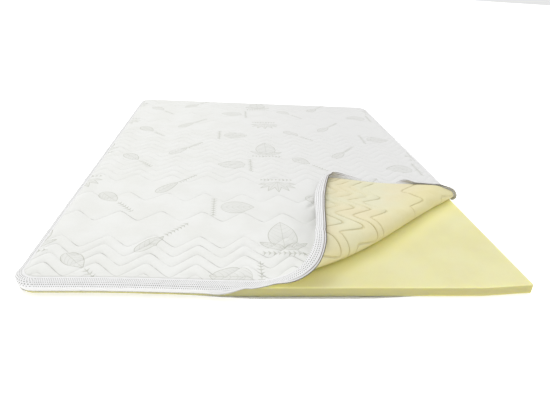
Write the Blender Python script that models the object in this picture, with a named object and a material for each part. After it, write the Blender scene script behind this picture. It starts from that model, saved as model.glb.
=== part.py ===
"""A foam mattress topper in its quilted cover, with the cover's lid unzipped and one corner folded back.

The foam slab lies on the cover's bottom panel. The quilted lid lies on the foam, with a mesh border
and one half of the zip sewn round its edge. The zip is open along the front and the front part of the
right side, and the lid's front right corner is rolled over and lies upside down on the lid.

Metres, +Z up, +Y to the back. The lid is drawn flat first, in (across, back) from the foam's front left
corner, and every point of it is then carried through one folding rule.
"""
import math

import bpy
import bmesh
import numpy as np
from mathutils import Vector
from mathutils.geometry import delaunay_2d_cdt

# --- driving sizes -------------------------------------------------------------------------------
FOAM_WIDTH = 1.400
FOAM_LENGTH = 2.000
FOAM_THICK = 0.030
BOTTOM_THICK = 0.003        # the cover's bottom panel
PIECE_GAP = 0.0003          # between pieces that touch
LID_GAP = 0.0004            # between the foam and the lid's lining
SEAM_GAP = 0.0010           # between the lid's edge and the border
LID_THICK = 0.0061          # the lid at its stitch lines
PUFF = 0.0035               # height of the quilting between two stitch lines
LINING_PUFF = 0.0022        # the same on the lining, where it hangs free
BORDER_THICK = 0.0020
TAPE_THICK = 0.0014         # zip tape
TAPE_WIDTH = 0.0080
TAPE_GAP = 0.0006           # between the border and its zip half
COIL_SIZE = 0.0026          # the zip's teeth, as one bead

# --- where things lie ----------------------------------------------------------------------------
SEAM_LEFT = 0.000           # the lid's seams, from the foam's front left corner
SEAM_RIGHT = 1.410
SEAM_FRONT = 0.024
SEAM_BACK = 2.010
SEAM_RADIUS = 0.040         # the lid's rounded corners
BARE_CORNER = 0.004         # the foam's free corner stays sharp
COVERED_CORNER = 0.038      # the cover presses the other three round
FOAM_EDGE = 0.0025
# the whole topper's front edge wanders: start back, step forward, step back (from, to, how far)
FRONT_START = 0.009
FRONT_FORWARD = (0.15, 0.65, 0.0185)
FRONT_BACKWARD = (1.22, 1.42, 0.0140)
FRONT_DEPTH = 0.35          # fading to nothing this far back
BOTTOM_MARGIN = 0.0075      # the bottom panel, out past the foam's sides and back
BOTTOM_RADIUS = 0.046
BOTTOM_FRONT = 0.0150       # in from the foam's front
BOTTOM_FORWARD = (0.35, 0.65, 0.0130)
BOTTOM_TUCK = (0.88, 1.23, 0.020)
OPEN_SIDE = 0.70            # the zip is open up to here on the right
OPEN_FRONT = 0.15           # and on the left and right up to here, round the front corners

# --- the fold ------------------------------------------------------------------------------------
FOLD_FRONT = 0.595          # where the fold meets the front seam, across
FOLD_SIDE = 0.599           # where it meets the right seam, back
ROLL_FRONT = 0.040          # the roll's radius at the front, and at the right
ROLL_SIDE = 0.0095
ROLL_EXTRA = 0.172          # the flap slopes down by this angle past the half turn
FLAP_REST = 0.012           # the flap lies this far over the lid
LANDING = 0.006             # how softly it lands
FOLD_BULGE = 0.046          # the fold line bulges towards the corner
FOLD_SKEW = 0.016           # and more so near the front
FLAP_PULL = 0.084           # the flap is drawn in by slack
FLAP_SLIP = 0.014           # and slips this much along the fold
FLAP_BELLY = 0.089          # slack in the middle of the flap's free edge
BELLY_REACH = 0.25
ROLL_SOFTNESS = 0.37        # the slack starts softly, as a share of the roll's radius
BELLY_SOFTNESS = 0.04
EDGE_LIFT = 0.018           # the flap's far edge arches up by this much
LIFT_ACROSS = (1.20, 0.18)  # from here across, over this distance
LIFT_PAST = 0.05            # over this distance past the roll
LIFT_BACK = (0.47, 0.14)    # round this place back, this far each way
FOLD_ROWS = 9               # mesh rows in the half turn
FOLD_POINTS = 32            # mesh points along the fold
SHORTEST_EDGE = 0.0025      # shorter mesh edges are closed up

# --- the quilting --------------------------------------------------------------------------------
WAVE_PITCH = 0.137          # one wave, across
WAVE_PHASE = 0.037          # the first crest, across
WAVE_HEIGHT = 0.033         # crest above the middle of the line
WAVE_ROUND = 0.93           # 1 is a sharp zigzag
# rows of stitch lines: first line, last line, number of lines (distance back, at the waves' crests)
STITCH_GROUPS = (
    (0.040, 0.248, 5),
    (0.415, 0.570, 2),
    (0.740, 1.400, 13),
    (1.560, 1.715, 2),
    (1.880, 2.035, 4),
)
NARROW_GAP = 0.055          # between two lines of a dense group
WIDE_GAP = 0.080            # a gap wider than this gets four mesh lines
STITCH_POINTS = 4           # mesh points in one wave of a stitch line
RIDGE_POINTS = 2            # and of the ridge between two lines
NARROW_RIDGES = (0.27, 0.73)      # mesh lines between two stitch lines, as shares of the gap
WIDE_RIDGES = (0.12, 0.37, 0.63, 0.88)
SEAM_FADE = 0.018           # the quilting flattens towards the seam
SEAM_CLEAR = 0.004          # mesh lines stop this far inside the seam
LINING_BACK = 0.65          # the lining is quilted up to here, where the fold turns it up
LINING_START = 0.020        # and from this far past the fold line
LINING_RIDGE_POINTS = 3     # mesh points in one wave of its ridges
LINING_RISE = (0.025, 0.030)      # it rises from here past the fold line, over this distance

# --- the border's way round the lid --------------------------------------------------------------
# place: along the seam from the front right corner, positive towards the back
# start, end: the border's angle at the seam and at the zip, from hanging straight down (0), outwards (+)
# width: of the border and its zip half together
# bend, spread: where across its width it turns, and over how much of it
BORDER_COLUMNS = ("place", "start", "end", "width", "bend", "spread")
BORDER_TABLE = (
    (-1.38, 94, 0, 0.0500, 0.68, 0.40),
    (-0.92, 94, 0, 0.0500, 0.68, 0.40),
    (-0.82, 92, 112, 0.0460, 0.60, 0.40),
    (-0.74, 76, 79, 0.0460, 0.50, 0.60),
    (-0.67, 50, -16, 0.0480, 0.50, 0.60),
    (-0.62, 36, -84, 0.0590, 0.50, 0.60),
    (-0.56, 24, -96, 0.0550, 0.50, 0.60),
    (-0.46, 20, -97, 0.0480, 0.50, 0.60),
    (-0.38, 16, -97, 0.0505, 0.50, 0.60),
    (-0.30, 12, -97, 0.0590, 0.50, 0.60),
    (-0.20, 10, -97, 0.0630, 0.50, 0.60),
    (-0.10, 12, -97, 0.0520, 0.50, 0.60),
    (0.00, 12, -80, 0.0430, 0.50, 0.60),
    (0.04, 14, -10, 0.0250, 0.50, 0.60),
    (0.08, 14, 60, 0.0220, 0.50, 0.60),
    (0.14, 45, 100, 0.0230, 0.50, 0.60),
    (0.20, 80, 130, 0.0240, 0.50, 0.60),
    (0.30, 80, 130, 0.0240, 0.50, 0.60),
    (0.34, 76, 20, 0.0190, 0.50, 0.70),
    (0.38, 42, -80, 0.0210, 0.50, 0.90),
    (0.46, 40, -95, 0.0220, 0.50, 0.90),
    (0.50, 75, -50, 0.0210, 0.50, 0.60),
    (0.56, 88, -10, 0.0180, 0.50, 0.60),
    (0.62, 88, 0, 0.0250, 0.50, 0.60),
    (0.68, 88, 4, 0.0344, 0.50, 0.60),
    (0.78, 85, -55, 0.0440, 0.50, 0.60),
    (3.32, 85, -55, 0.0440, 0.50, 0.60),
    (3.42, 90, -30, 0.0420, 0.50, 0.60),
    (5.29, 90, -30, 0.0420, 0.50, 0.60),
    (5.36, 94, 0, 0.0500, 0.68, 0.40),
)
BORDER_SEGMENTS = 5
# mesh stations along the seam: up to this place, this far apart
STATION_STEPS = (
    (-0.92, 0.080),
    (-0.72, 0.024),
    (0.50, 0.0155),
    (0.61, 0.007),
    (0.70, 0.0155),
    (0.80, 0.030),
    (9.00, 0.150),
)
CORNER_STATIONS = 5

FOAM_BASE = BOTTOM_THICK + PIECE_GAP
FOAM_TOP = FOAM_BASE + FOAM_THICK
STITCH_Z = FOAM_TOP + LID_GAP + LID_THICK


# --- folding the lid -----------------------------------------------------------------------------
def soft_step(x):
    """0 below 0, 1 above 1, smooth between."""
    x = np.clip(x, 0.0, 1.0)
    return x * x * (3.0 - 2.0 * x)


def rounded_rise(value, softness):
    """0 below 0 and the value itself above, with a rounded corner between."""
    return softness * np.logaddexp(0.0, value / softness)


def fold_axes():
    """The fold line's start, direction, normal towards the corner, and length, on the flat lid."""
    start = np.array([FOLD_FRONT, SEAM_FRONT])
    line = np.array([SEAM_RIGHT, FOLD_SIDE]) - start
    length = float(np.hypot(line[0], line[1]))
    line = line / length
    return start, line, np.array([line[1], -line[0]]), length


FOLD_START, FOLD_LINE, FOLD_NORMAL, FOLD_LENGTH = fold_axes()
CORNER_SHARE = float(SEAM_RIGHT - FOLD_FRONT) * float(FOLD_LINE[0]) / FOLD_LENGTH


def fold_bulge(share):
    """How far the fold bulges towards the corner, at a share of its length."""
    return FOLD_BULGE * 4.0 * share * (1.0 - share) + FOLD_SKEW * np.sin(2.0 * math.pi * share)


def fold_share_and_distance(across, back):
    """A flat point's share along the fold line, and its distance past the bulging line."""
    along = (across - FOLD_START[0]) * FOLD_LINE[0] + (back - FOLD_START[1]) * FOLD_LINE[1]
    past = (across - FOLD_START[0]) * FOLD_NORMAL[0] + (back - FOLD_START[1]) * FOLD_NORMAL[1]
    share = np.clip(along / FOLD_LENGTH, 0.0, 1.0)
    return along, share, past - fold_bulge(share)


def roll_radius(share):
    return ROLL_FRONT + (ROLL_SIDE - ROLL_FRONT) * share


def slide(across, stretch):
    """A smooth shift over a stretch: from, to, how far."""
    start, end, amount = stretch
    return amount * soft_step((across - start) / (end - start))


def wander_front(points):
    """Move points with the topper's front edge, which does not lie straight."""
    points = np.array(points, dtype=float)
    near = np.clip(1.0 - points[..., 1] / FRONT_DEPTH, 0.0, 1.0) ** 2
    across = points[..., 0]
    points[..., 1] += near * (FRONT_START - slide(across, FRONT_FORWARD) + slide(across, FRONT_BACKWARD))
    return points


def fold(across, back):
    """Carry points of the flat lid's white side, at its stitch lines, to where they lie."""
    across = np.asarray(across, dtype=float)
    back = np.asarray(back, dtype=float)
    along, share, past = fold_share_and_distance(across, back)
    radius = roll_radius(share)
    full = math.pi + ROLL_EXTRA
    turn = np.clip(past / radius, 0.0, full)
    straight = np.clip(past - radius * full, 0.0, None)
    out = np.where(past < 0.0, past, radius * np.sin(turn) + straight * math.cos(full))
    up = np.where(past < 0.0, 0.0, radius * (1.0 - np.cos(turn)) + straight * math.sin(full))
    landed = FLAP_REST + LANDING * np.logaddexp(0.0, (up - FLAP_REST) / LANDING)
    blend = soft_step((turn / math.pi - 0.5) * 4.0)
    up = up * (1.0 - blend) + landed * blend
    over = rounded_rise(past - radius * full / 2.0, ROLL_SOFTNESS * radius)
    reach = (over - rounded_rise(over - BELLY_REACH, BELLY_SOFTNESS)) / BELLY_REACH
    belly = np.sin(math.pi * np.clip(share / CORNER_SHARE, 0.0, 1.0)) * reach
    near_edge = soft_step((across - LIFT_ACROSS[0]) / LIFT_ACROSS[1]) * soft_step(over / LIFT_PAST)
    up = up + EDGE_LIFT * near_edge * np.exp(-((back - LIFT_BACK[0]) / LIFT_BACK[1]) ** 2)
    out = out + fold_bulge(share) - FLAP_PULL * over - FLAP_BELLY * belly
    along = along + FLAP_SLIP * over
    x = FOLD_START[0] + along * FOLD_LINE[0] + out * FOLD_NORMAL[0]
    y = FOLD_START[1] + along * FOLD_LINE[1] + out * FOLD_NORMAL[1]
    return wander_front(np.stack([x, y, STITCH_Z + up], axis=-1))


def unit(vectors):
    return vectors / np.linalg.norm(vectors, axis=-1, keepdims=True)


def lid_slopes(across, back):
    """The folded lid's two slopes and the direction that its white side faces."""
    step = 1e-4
    slope_across = (fold(across + step, back) - fold(across - step, back)) / (2.0 * step)
    slope_back = (fold(across, back + step) - fold(across, back - step)) / (2.0 * step)
    return slope_across, slope_back, unit(np.cross(slope_across, slope_back))


# --- the quilting --------------------------------------------------------------------------------
def wave(across):
    """How far a stitch line lies in front of its crest, at a place across the lid."""
    turn = 2.0 * math.pi * (across - WAVE_PHASE) / WAVE_PITCH
    return WAVE_HEIGHT * (np.arcsin(WAVE_ROUND * np.cos(turn)) / math.asin(WAVE_ROUND) - 1.0)


def stitch_crests():
    rows = []
    for first, last, count in STITCH_GROUPS:
        rows.extend(np.linspace(first, last, count))
    return np.array(rows)


CRESTS = stitch_crests()


def seam_distance(across, back):
    """Distance inwards from the seam, rounded at the corners."""
    to_side = np.minimum(across - SEAM_LEFT, SEAM_RIGHT - across)
    to_end = np.minimum(back - SEAM_FRONT, SEAM_BACK - back)
    in_x = np.clip(SEAM_RADIUS - to_side, 0.0, None)
    in_y = np.clip(SEAM_RADIUS - to_end, 0.0, None)
    rounded = SEAM_RADIUS - np.hypot(in_x, in_y)
    return np.where((in_x > 0.0) & (in_y > 0.0), rounded, np.minimum(to_side, to_end))


def puff(across, back):
    """Height of the quilting above its stitch lines, from 0 to 1."""
    row = back - wave(across)
    limits = np.concatenate([[CRESTS[0] - NARROW_GAP], CRESTS, [CRESTS[-1] + NARROW_GAP]])
    index = np.clip(np.searchsorted(limits, row, side="right") - 1, 0, len(limits) - 2)
    share = np.clip((row - limits[index]) / (limits[index + 1] - limits[index]), 0.0, 1.0)
    return np.sin(math.pi * share) ** 0.7 * soft_step(seam_distance(across, back) / SEAM_FADE)


# --- stations along the lid's seam ---------------------------------------------------------------
def station_step(place):
    for limit, step in STATION_STEPS:
        if place < limit:
            return step
    return STATION_STEPS[-1][1]


def seam_stations():
    """Points round the lid's seam, anticlockwise from the left end of the front: flat place,
    flat direction, and distance along the seam from the front right corner."""
    r = SEAM_RADIUS
    quarter = r * math.pi / 2.0
    front = SEAM_RIGHT - SEAM_LEFT - 2.0 * r
    side = SEAM_BACK - SEAM_FRONT - 2.0 * r
    straights = (
        (SEAM_LEFT + r, SEAM_FRONT, 0.0, front, -front - quarter / 2.0),
        (SEAM_RIGHT, SEAM_FRONT + r, 90.0, side, quarter / 2.0),
        (SEAM_RIGHT - r, SEAM_BACK, 180.0, front, quarter * 1.5 + side),
        (SEAM_LEFT, SEAM_BACK - r, 270.0, side, quarter * 2.5 + side + front),
    )
    rows = []
    for x, y, heading, length, place in straights:
        angle = math.radians(heading)
        way = 0.0
        while way < length - 0.004:
            rows.append((x + way * math.cos(angle), y + way * math.sin(angle), angle, place + way))
            way += min(station_step(place + way), max(length - way, 0.004))
        end_x = x + length * math.cos(angle)
        end_y = y + length * math.sin(angle)
        centre_x = end_x - r * math.sin(angle)
        centre_y = end_y + r * math.cos(angle)
        for k in range(CORNER_STATIONS):
            turn = math.radians(90.0) * k / CORNER_STATIONS
            rows.append((centre_x + r * math.sin(angle + turn), centre_y - r * math.cos(angle + turn),
                         angle + turn, place + length + r * turn))
    return np.array(rows)


STATIONS = seam_stations()


def seam_frames():
    """At each station: the seam on the white side, the way out of the lid, the white side's facing."""
    across, back, heading = STATIONS[:, 0], STATIONS[:, 1], STATIONS[:, 2]
    slope_across, slope_back, facing = lid_slopes(across, back)
    ahead = unit(slope_across * np.cos(heading)[:, None] + slope_back * np.sin(heading)[:, None])
    return fold(across, back), unit(np.cross(ahead, facing)), facing


def border_settings():
    """The border table read at each station, as a dictionary of columns."""
    place = STATIONS[:, 3]
    table = np.array(BORDER_TABLE)
    return {name: np.interp(place, table[:, 0], table[:, k]) for k, name in enumerate(BORDER_COLUMNS)}


def border_centre_lines():
    """Rows of points from the seam to the zip, with the direction of travel in each row."""
    seam, outward, facing = seam_frames()
    settings = border_settings()
    start = np.radians(settings["start"])
    end = np.radians(settings["end"])
    down = -facing
    clear = SEAM_GAP + BORDER_THICK / 2.0 * np.cos(start)
    here = seam - facing * LID_THICK / 2.0 + outward * clear[:, None]
    width = settings["width"] - TAPE_WIDTH
    rows = [here]
    ways = []
    for k in range(BORDER_SEGMENTS):
        share = (k + 0.5) / BORDER_SEGMENTS
        turned = soft_step((share - settings["bend"]) / settings["spread"] + 0.5)
        angle = start + (end - start) * turned
        way = down * np.cos(angle)[:, None] + outward * np.sin(angle)[:, None]
        here = here + way * (width / BORDER_SEGMENTS)[:, None]
        rows.append(here)
        ways.append(way)
    return np.array(rows), np.array(ways)


def across_strip(way, ahead):
    """The direction square to a strip."""
    return unit(np.cross(way, ahead))


def ring_ahead(points):
    """The direction along a closed ring of points."""
    return unit(np.roll(points, -1, axis=0) - np.roll(points, 1, axis=0))


# --- making solids -------------------------------------------------------------------------------
def add_object(name, mesh, colour, roughness):
    material = bpy.data.materials.new(name)
    material.use_nodes = True
    shader = material.node_tree.nodes["Principled BSDF"]
    shader.inputs["Base Color"].default_value = (*colour, 1.0)
    shader.inputs["Roughness"].default_value = roughness
    shader.inputs["Metallic"].default_value = 0.0
    mesh.materials.append(material)
    made = bpy.data.objects.new(name, mesh)
    bpy.context.scene.collection.objects.link(made)
    return made


def finish_mesh(name, form):
    bmesh.ops.recalc_face_normals(form, faces=form.faces)
    mesh = bpy.data.meshes.new(name)
    form.to_mesh(mesh)
    form.free()
    mesh.shade_smooth()
    mesh.set_sharp_from_angle(angle=math.radians(40.0))
    return mesh


def ring_mesh(name, profiles):
    """A closed ring swept through its profiles: profiles[k] is point k of the section, all the way round."""
    form = bmesh.new()
    corners = [[form.verts.new(point) for point in ring] for ring in profiles]
    count = len(corners[0])
    for k, ring in enumerate(corners):
        nxt = corners[(k + 1) % len(corners)]
        for i in range(count):
            j = (i + 1) % count
            form.faces.new((ring[i], ring[j], nxt[j], nxt[i]))
    bmesh.ops.triangulate(form, faces=form.faces)
    return finish_mesh(name, form)


def plate_mesh(name, outline, low, high, edge):
    """A flat plate from an outline, its long edges bevelled."""
    form = bmesh.new()
    face = form.faces.new([form.verts.new((x, y, low)) for x, y in outline])
    raised = bmesh.ops.extrude_face_region(form, geom=[face])
    top = [item for item in raised["geom"] if isinstance(item, bmesh.types.BMVert)]
    bmesh.ops.translate(form, verts=top, vec=Vector((0.0, 0.0, high - low)))
    if edge > 0.0:
        rims = [e for e in form.edges if abs(e.verts[0].co.z - e.verts[1].co.z) < 1e-6]
        bmesh.ops.bevel(form, geom=rims, offset=edge, offset_type="OFFSET", affect="EDGES", segments=2,
                        profile=0.5, material=-1)
    bmesh.ops.triangulate(form, faces=form.faces)
    return finish_mesh(name, form)


def rounded_outline(left, front, right, back, radii, step=0.12):
    """A rectangle with rounded corners, from the front left corner, anticlockwise."""
    corners = ((left, front, 180.0), (right, front, 270.0), (right, back, 0.0), (left, back, 90.0))
    signs = ((1, 1), (-1, 1), (-1, -1), (1, -1))
    outline = []
    for (x, y, heading), (sx, sy), r in zip(corners, signs, radii):
        points = 6 if r > 0.02 else 2
        for k in range(points + 1):
            angle = math.radians(heading + 90.0 * k / points)
            outline.append((x + sx * r + r * math.cos(angle), y + sy * r + r * math.sin(angle)))
    filled = []
    for k, (x, y) in enumerate(outline):
        nx, ny = outline[(k + 1) % len(outline)]
        cuts = max(1, int(math.hypot(nx - x, ny - y) / step))
        filled.extend((x + (nx - x) * c / cuts, y + (ny - y) * c / cuts) for c in range(cuts))
    return np.array(filled)


# --- the pieces ----------------------------------------------------------------------------------
def make_foam():
    radii = (COVERED_CORNER, BARE_CORNER, COVERED_CORNER, COVERED_CORNER)
    outline = rounded_outline(0.0, 0.0, FOAM_WIDTH, FOAM_LENGTH, radii)
    bowed = wander_front(np.column_stack([outline, np.zeros(len(outline))]))[:, :2]
    mesh = plate_mesh("foam_core", bowed, FOAM_BASE, FOAM_TOP, FOAM_EDGE)
    return add_object("foam_core", mesh, (0.80, 0.77, 0.42), 0.9)


def bottom_outline():
    """The bottom panel, from its front left corner, anticlockwise."""
    margin = BOTTOM_MARGIN
    outline = rounded_outline(-margin, 0.0, FOAM_WIDTH + margin, FOAM_LENGTH + margin, (BOTTOM_RADIUS,) * 4)
    across = outline[:, 0]
    near = np.clip(1.0 - outline[:, 1] / FRONT_DEPTH, 0.0, 1.0) ** 2
    outline[:, 1] += near * (BOTTOM_FRONT - slide(across, BOTTOM_FORWARD) + slide(across, BOTTOM_TUCK))
    return wander_front(np.column_stack([outline, np.zeros(len(outline))]))[:, :2]


def make_bottom():
    mesh = plate_mesh("cover_bottom", bottom_outline(), 0.0, BOTTOM_THICK, 0.0)
    return add_object("cover_bottom", mesh, (0.80, 0.80, 0.79), 0.9)


def add_polyline(points, line, edges):
    """Add a line's points, and its edges where both ends lie well inside the seam."""
    keep = seam_distance(line[:, 0], line[:, 1]) > SEAM_CLEAR
    indices = []
    for point, inside in zip(line, keep):
        indices.append(len(points) if inside else None)
        if inside:
            points.append((float(point[0]), float(point[1])))
    edges.extend((a, b) for a, b in zip(indices, indices[1:]) if a is not None and b is not None)


def stitch_line(crest, per_wave, limit=None):
    step = WAVE_PITCH / per_wave
    across = WAVE_PHASE + step * np.arange(math.ceil((SEAM_LEFT - WAVE_PHASE) / step),
                                           math.floor((SEAM_RIGHT - WAVE_PHASE) / step) + 1)
    line = np.column_stack([across, crest + wave(across)])
    if limit is not None:
        _, share, past = fold_share_and_distance(line[:, 0], line[:, 1])
        line = line[past > limit]
    return line


def fold_lines():
    """Lines that follow the fold, close together across the roll, so that the mesh bends smoothly."""
    share = np.linspace(0.0, 1.0, FOLD_POINTS)
    lines = []
    for k in range(FOLD_ROWS + 2):
        past = roll_radius(share) * math.pi * k / FOLD_ROWS + fold_bulge(share)
        along = share * FOLD_LENGTH
        lines.append(np.column_stack([
            FOLD_START[0] + along * FOLD_LINE[0] + past * FOLD_NORMAL[0],
            FOLD_START[1] + along * FOLD_LINE[1] + past * FOLD_NORMAL[1]]))
    return lines


def flat_sheet(lines):
    """Triangles over the lid's outline that follow the given lines. The outline's points come first."""
    outline = [(float(x), float(y)) for x, y in STATIONS[:, :2]]
    points = list(outline)
    edges = [(k, (k + 1) % len(outline)) for k in range(len(outline))]
    for line in lines:
        add_polyline(points, line, edges)
    vectors = [Vector(point) for point in points]
    made = delaunay_2d_cdt(vectors, edges, [list(range(len(outline)))], 1, 1e-5)
    verts = np.array([(v.x, v.y) for v in made[0]])
    place = {}
    for new, origins in enumerate(made[3]):
        for old in origins:
            place[old] = new
    rim = [place[k] for k in range(len(outline))]
    return verts, [tuple(face) for face in made[2]], rim


def white_lines():
    lines = list(fold_lines())
    for k, crest in enumerate(CRESTS):
        lines.append(stitch_line(crest, STITCH_POINTS))
        if k + 1 < len(CRESTS):
            gap = CRESTS[k + 1] - crest
            shares = NARROW_RIDGES if gap < WIDE_GAP else WIDE_RIDGES
            lines.extend(stitch_line(crest + gap * share, RIDGE_POINTS) for share in shares)
    return lines


def lining_lines():
    lines = list(fold_lines())
    for crest in CRESTS[CRESTS < LINING_BACK]:
        lines.append(stitch_line(crest, STITCH_POINTS, limit=LINING_START))
        lines.append(stitch_line(crest + NARROW_GAP / 2.0, LINING_RIDGE_POINTS, limit=LINING_START))
    return lines


def make_lid():
    """The quilted lid: its white side, its lining, and the wall between them at the seam."""
    white, white_faces, white_rim = flat_sheet(white_lines())
    lining, lining_faces, lining_rim = flat_sheet(lining_lines())
    form = bmesh.new()

    _, _, facing = lid_slopes(white[:, 0], white[:, 1])
    raised = fold(white[:, 0], white[:, 1]) + facing * (PUFF * puff(white[:, 0], white[:, 1]))[:, None]
    top = [form.verts.new(point) for point in raised]
    for face in white_faces:
        form.faces.new([top[k] for k in face])

    _, _, facing = lid_slopes(lining[:, 0], lining[:, 1])
    _, _, past = fold_share_and_distance(lining[:, 0], lining[:, 1])
    free = soft_step((past - LINING_RISE[0]) / LINING_RISE[1])
    depth = LID_THICK + LINING_PUFF * free * puff(lining[:, 0], lining[:, 1])
    under = [form.verts.new(point) for point in fold(lining[:, 0], lining[:, 1]) - facing * depth[:, None]]
    for face in lining_faces:
        form.faces.new([under[k] for k in reversed(face)])

    count = len(white_rim)
    for k in range(count):
        n = (k + 1) % count
        form.faces.new((top[white_rim[k]], under[lining_rim[k]], under[lining_rim[n]], top[white_rim[n]]))
    bmesh.ops.dissolve_degenerate(form, edges=form.edges, dist=SHORTEST_EDGE)
    bmesh.ops.triangulate(form, faces=form.faces)
    return add_object("cover_lid", finish_mesh("cover_lid", form), (0.86, 0.86, 0.85), 0.9)


def make_border():
    """The mesh strip between the lid's seam and the zip, 2 mm thick."""
    rows, ways = border_centre_lines()
    sides = []
    for k, row in enumerate(rows):
        way = ways[0] if k == 0 else ways[-1] if k == len(ways) else unit(ways[k - 1] + ways[k])
        sides.append(across_strip(way, ring_ahead(row)) * (BORDER_THICK / 2.0))
    outer = [row + side for row, side in zip(rows, sides)]
    inner = [row - side for row, side in zip(rows, sides)]
    section = np.array(outer + inner[::-1])
    mesh = ring_mesh("cover_border", section.transpose(1, 0, 2))
    return add_object("cover_border", mesh, (0.84, 0.84, 0.84), 0.95)


def tape_section(base, way, ahead, width):
    """A zip half: a thin tape with a bead of teeth along its free edge."""
    side = across_strip(way, ahead)
    thin = side * (TAPE_THICK / 2.0)
    bead = side * (COIL_SIZE / 2.0)
    neck = base + way * (width - COIL_SIZE)
    tip = base + way * width
    return np.array([base + thin, neck + thin, tip + bead, tip - bead, neck - thin, base - thin])


def make_upper_zip():
    rows, ways = border_centre_lines()
    base = rows[-1] + ways[-1] * TAPE_GAP
    section = tape_section(base, ways[-1], ring_ahead(base), TAPE_WIDTH - TAPE_GAP)
    mesh = ring_mesh("zip_upper", section.transpose(1, 0, 2))
    return add_object("zip_upper", mesh, (0.62, 0.58, 0.52), 0.6)


def make_lower_zip():
    """The zip's other half, on the bottom panel: it stands up where the zip is closed and lies flat
    where it is open, along the front and the front part of the right side."""
    outline = bottom_outline()
    ahead = ring_ahead(np.column_stack([outline, np.zeros(len(outline))]))
    outward = np.column_stack([ahead[:, 1], -ahead[:, 0], np.zeros(len(ahead))])
    on_right = outline[:, 0] > FOAM_WIDTH
    open_zip = (outline[:, 1] < OPEN_FRONT) | (on_right & (outline[:, 1] < OPEN_SIDE))
    lean = np.where(open_zip, 1.0, 0.0)
    lean = np.maximum(lean, (np.roll(lean, 1) + np.roll(lean, -1)) / 2.0)
    angle = lean * math.radians(90.0)
    way = outward * np.sin(angle)[:, None]
    way[:, 2] = np.cos(angle)
    reach = PIECE_GAP + TAPE_THICK / 2.0 * np.cos(angle)
    height = PIECE_GAP + COIL_SIZE / 2.0 * np.sin(angle)
    base = np.column_stack([outline, height]) + outward * reach[:, None]
    section = tape_section(base, way, ahead, TAPE_WIDTH)
    mesh = ring_mesh("zip_lower", section.transpose(1, 0, 2))
    return add_object("zip_lower", mesh, (0.62, 0.60, 0.56), 0.6)


def stand_on_origin(made):
    """Move every piece so that the origin lies under the middle of the whole, at the surface below."""
    points = np.array([vertex.co[:] for item in made for vertex in item.data.vertices])
    low, high = points.min(axis=0), points.max(axis=0)
    shift = Vector((-(low[0] + high[0]) / 2.0, -(low[1] + high[1]) / 2.0, -low[2]))
    for item in made:
        for vertex in item.data.vertices:
            vertex.co += shift


def main():
    for item in list(bpy.data.objects):
        bpy.data.objects.remove(item, do_unlink=True)
    made = [make_foam(), make_bottom(), make_lid(), make_border(), make_upper_zip(), make_lower_zip()]
    stand_on_origin(made)


main()
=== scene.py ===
# %% [markdown]
# # A foam mattress topper in its quilted cover
# The real thing is a slab of foam in a zipped cover. The cover has a quilted lid, a knitted mesh border
# sewn round it, a zip, and a plain bottom panel. Here the zip is open along the front and part of the
# right side, and the lid's front right corner is turned back over itself.
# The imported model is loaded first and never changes. Every piece below takes its place from it.

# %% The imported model, as a fixed frame
import math

import bmesh
import bpy
import numpy as np
from mathutils import Matrix, Vector


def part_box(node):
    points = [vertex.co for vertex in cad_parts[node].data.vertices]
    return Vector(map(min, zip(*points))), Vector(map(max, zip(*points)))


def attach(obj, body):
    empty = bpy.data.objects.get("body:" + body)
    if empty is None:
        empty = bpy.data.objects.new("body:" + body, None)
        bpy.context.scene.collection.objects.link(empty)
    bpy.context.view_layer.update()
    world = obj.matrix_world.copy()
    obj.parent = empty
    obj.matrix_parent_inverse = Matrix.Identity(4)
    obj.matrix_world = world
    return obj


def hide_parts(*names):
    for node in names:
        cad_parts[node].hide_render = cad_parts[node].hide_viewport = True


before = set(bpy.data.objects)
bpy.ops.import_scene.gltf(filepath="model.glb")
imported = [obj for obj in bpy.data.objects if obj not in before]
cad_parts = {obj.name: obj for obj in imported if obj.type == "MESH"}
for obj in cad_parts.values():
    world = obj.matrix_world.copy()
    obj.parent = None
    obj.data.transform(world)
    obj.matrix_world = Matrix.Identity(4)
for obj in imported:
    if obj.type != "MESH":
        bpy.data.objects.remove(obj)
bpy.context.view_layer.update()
print("nodes:", sorted(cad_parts))

# %% [markdown]
# ## Sizes
# The topper was cut and sewn to these sizes, in metres. The lid is always described flat, as it lay on
# the cutting table: a distance across from the foam's left side and a distance back from its front.
# One rule then carries every flat point to where the cloth lies now, so the stitch lines, the seam and
# the border all follow the same fold.

# %% Sizes of the foam, the lid and the zip
FOAM_WIDTH, FOAM_LENGTH, FOAM_THICK = 1.400, 2.000, 0.030
BOTTOM_THICK = 0.003
PIECE_GAP = 0.0003
LID_GAP = 0.0004
LID_THICK = 0.0061
BORDER_THICK = 0.0020
TAPE_THICK, TAPE_WIDTH = 0.0014, 0.0080
COIL_SIZE = 0.0026
SEAM_GAP = 0.0010
SEAM_LEFT, SEAM_RIGHT, SEAM_FRONT, SEAM_BACK, SEAM_RADIUS = 0.0, 1.410, 0.024, 2.010, 0.040
FOAM_BASE = BOTTOM_THICK + PIECE_GAP
FOAM_TOP = FOAM_BASE + FOAM_THICK
STITCH_Z = FOAM_TOP + LID_GAP + LID_THICK

foam_low, foam_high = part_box("foam_core")
SHIFT = np.array([foam_low[0], foam_high[1] - FOAM_LENGTH, foam_low[2] - FOAM_BASE])
print("the foam's front left corner stands at", [round(float(v), 4) for v in SHIFT])

# %% [markdown]
# ## The camera
# The photograph was taken standing at the foot of the bed, a little to the left of its middle and
# looking down. The camera's place, its three angles and its lens were worked out from the straight
# edges of the slab and the cover.

# %% The camera
CAMERA_PLACE = (0.5329, -1.0302, 0.7646)
CAMERA_TURN, CAMERA_DOWN, CAMERA_TILT = 0.1105, 0.4462, -0.0649
LENS_PIXELS, PHOTO_WIDTH, SENSOR = 469.11, 550, 36.0
NEAREST, FARTHEST = 0.02, 60.0


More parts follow.
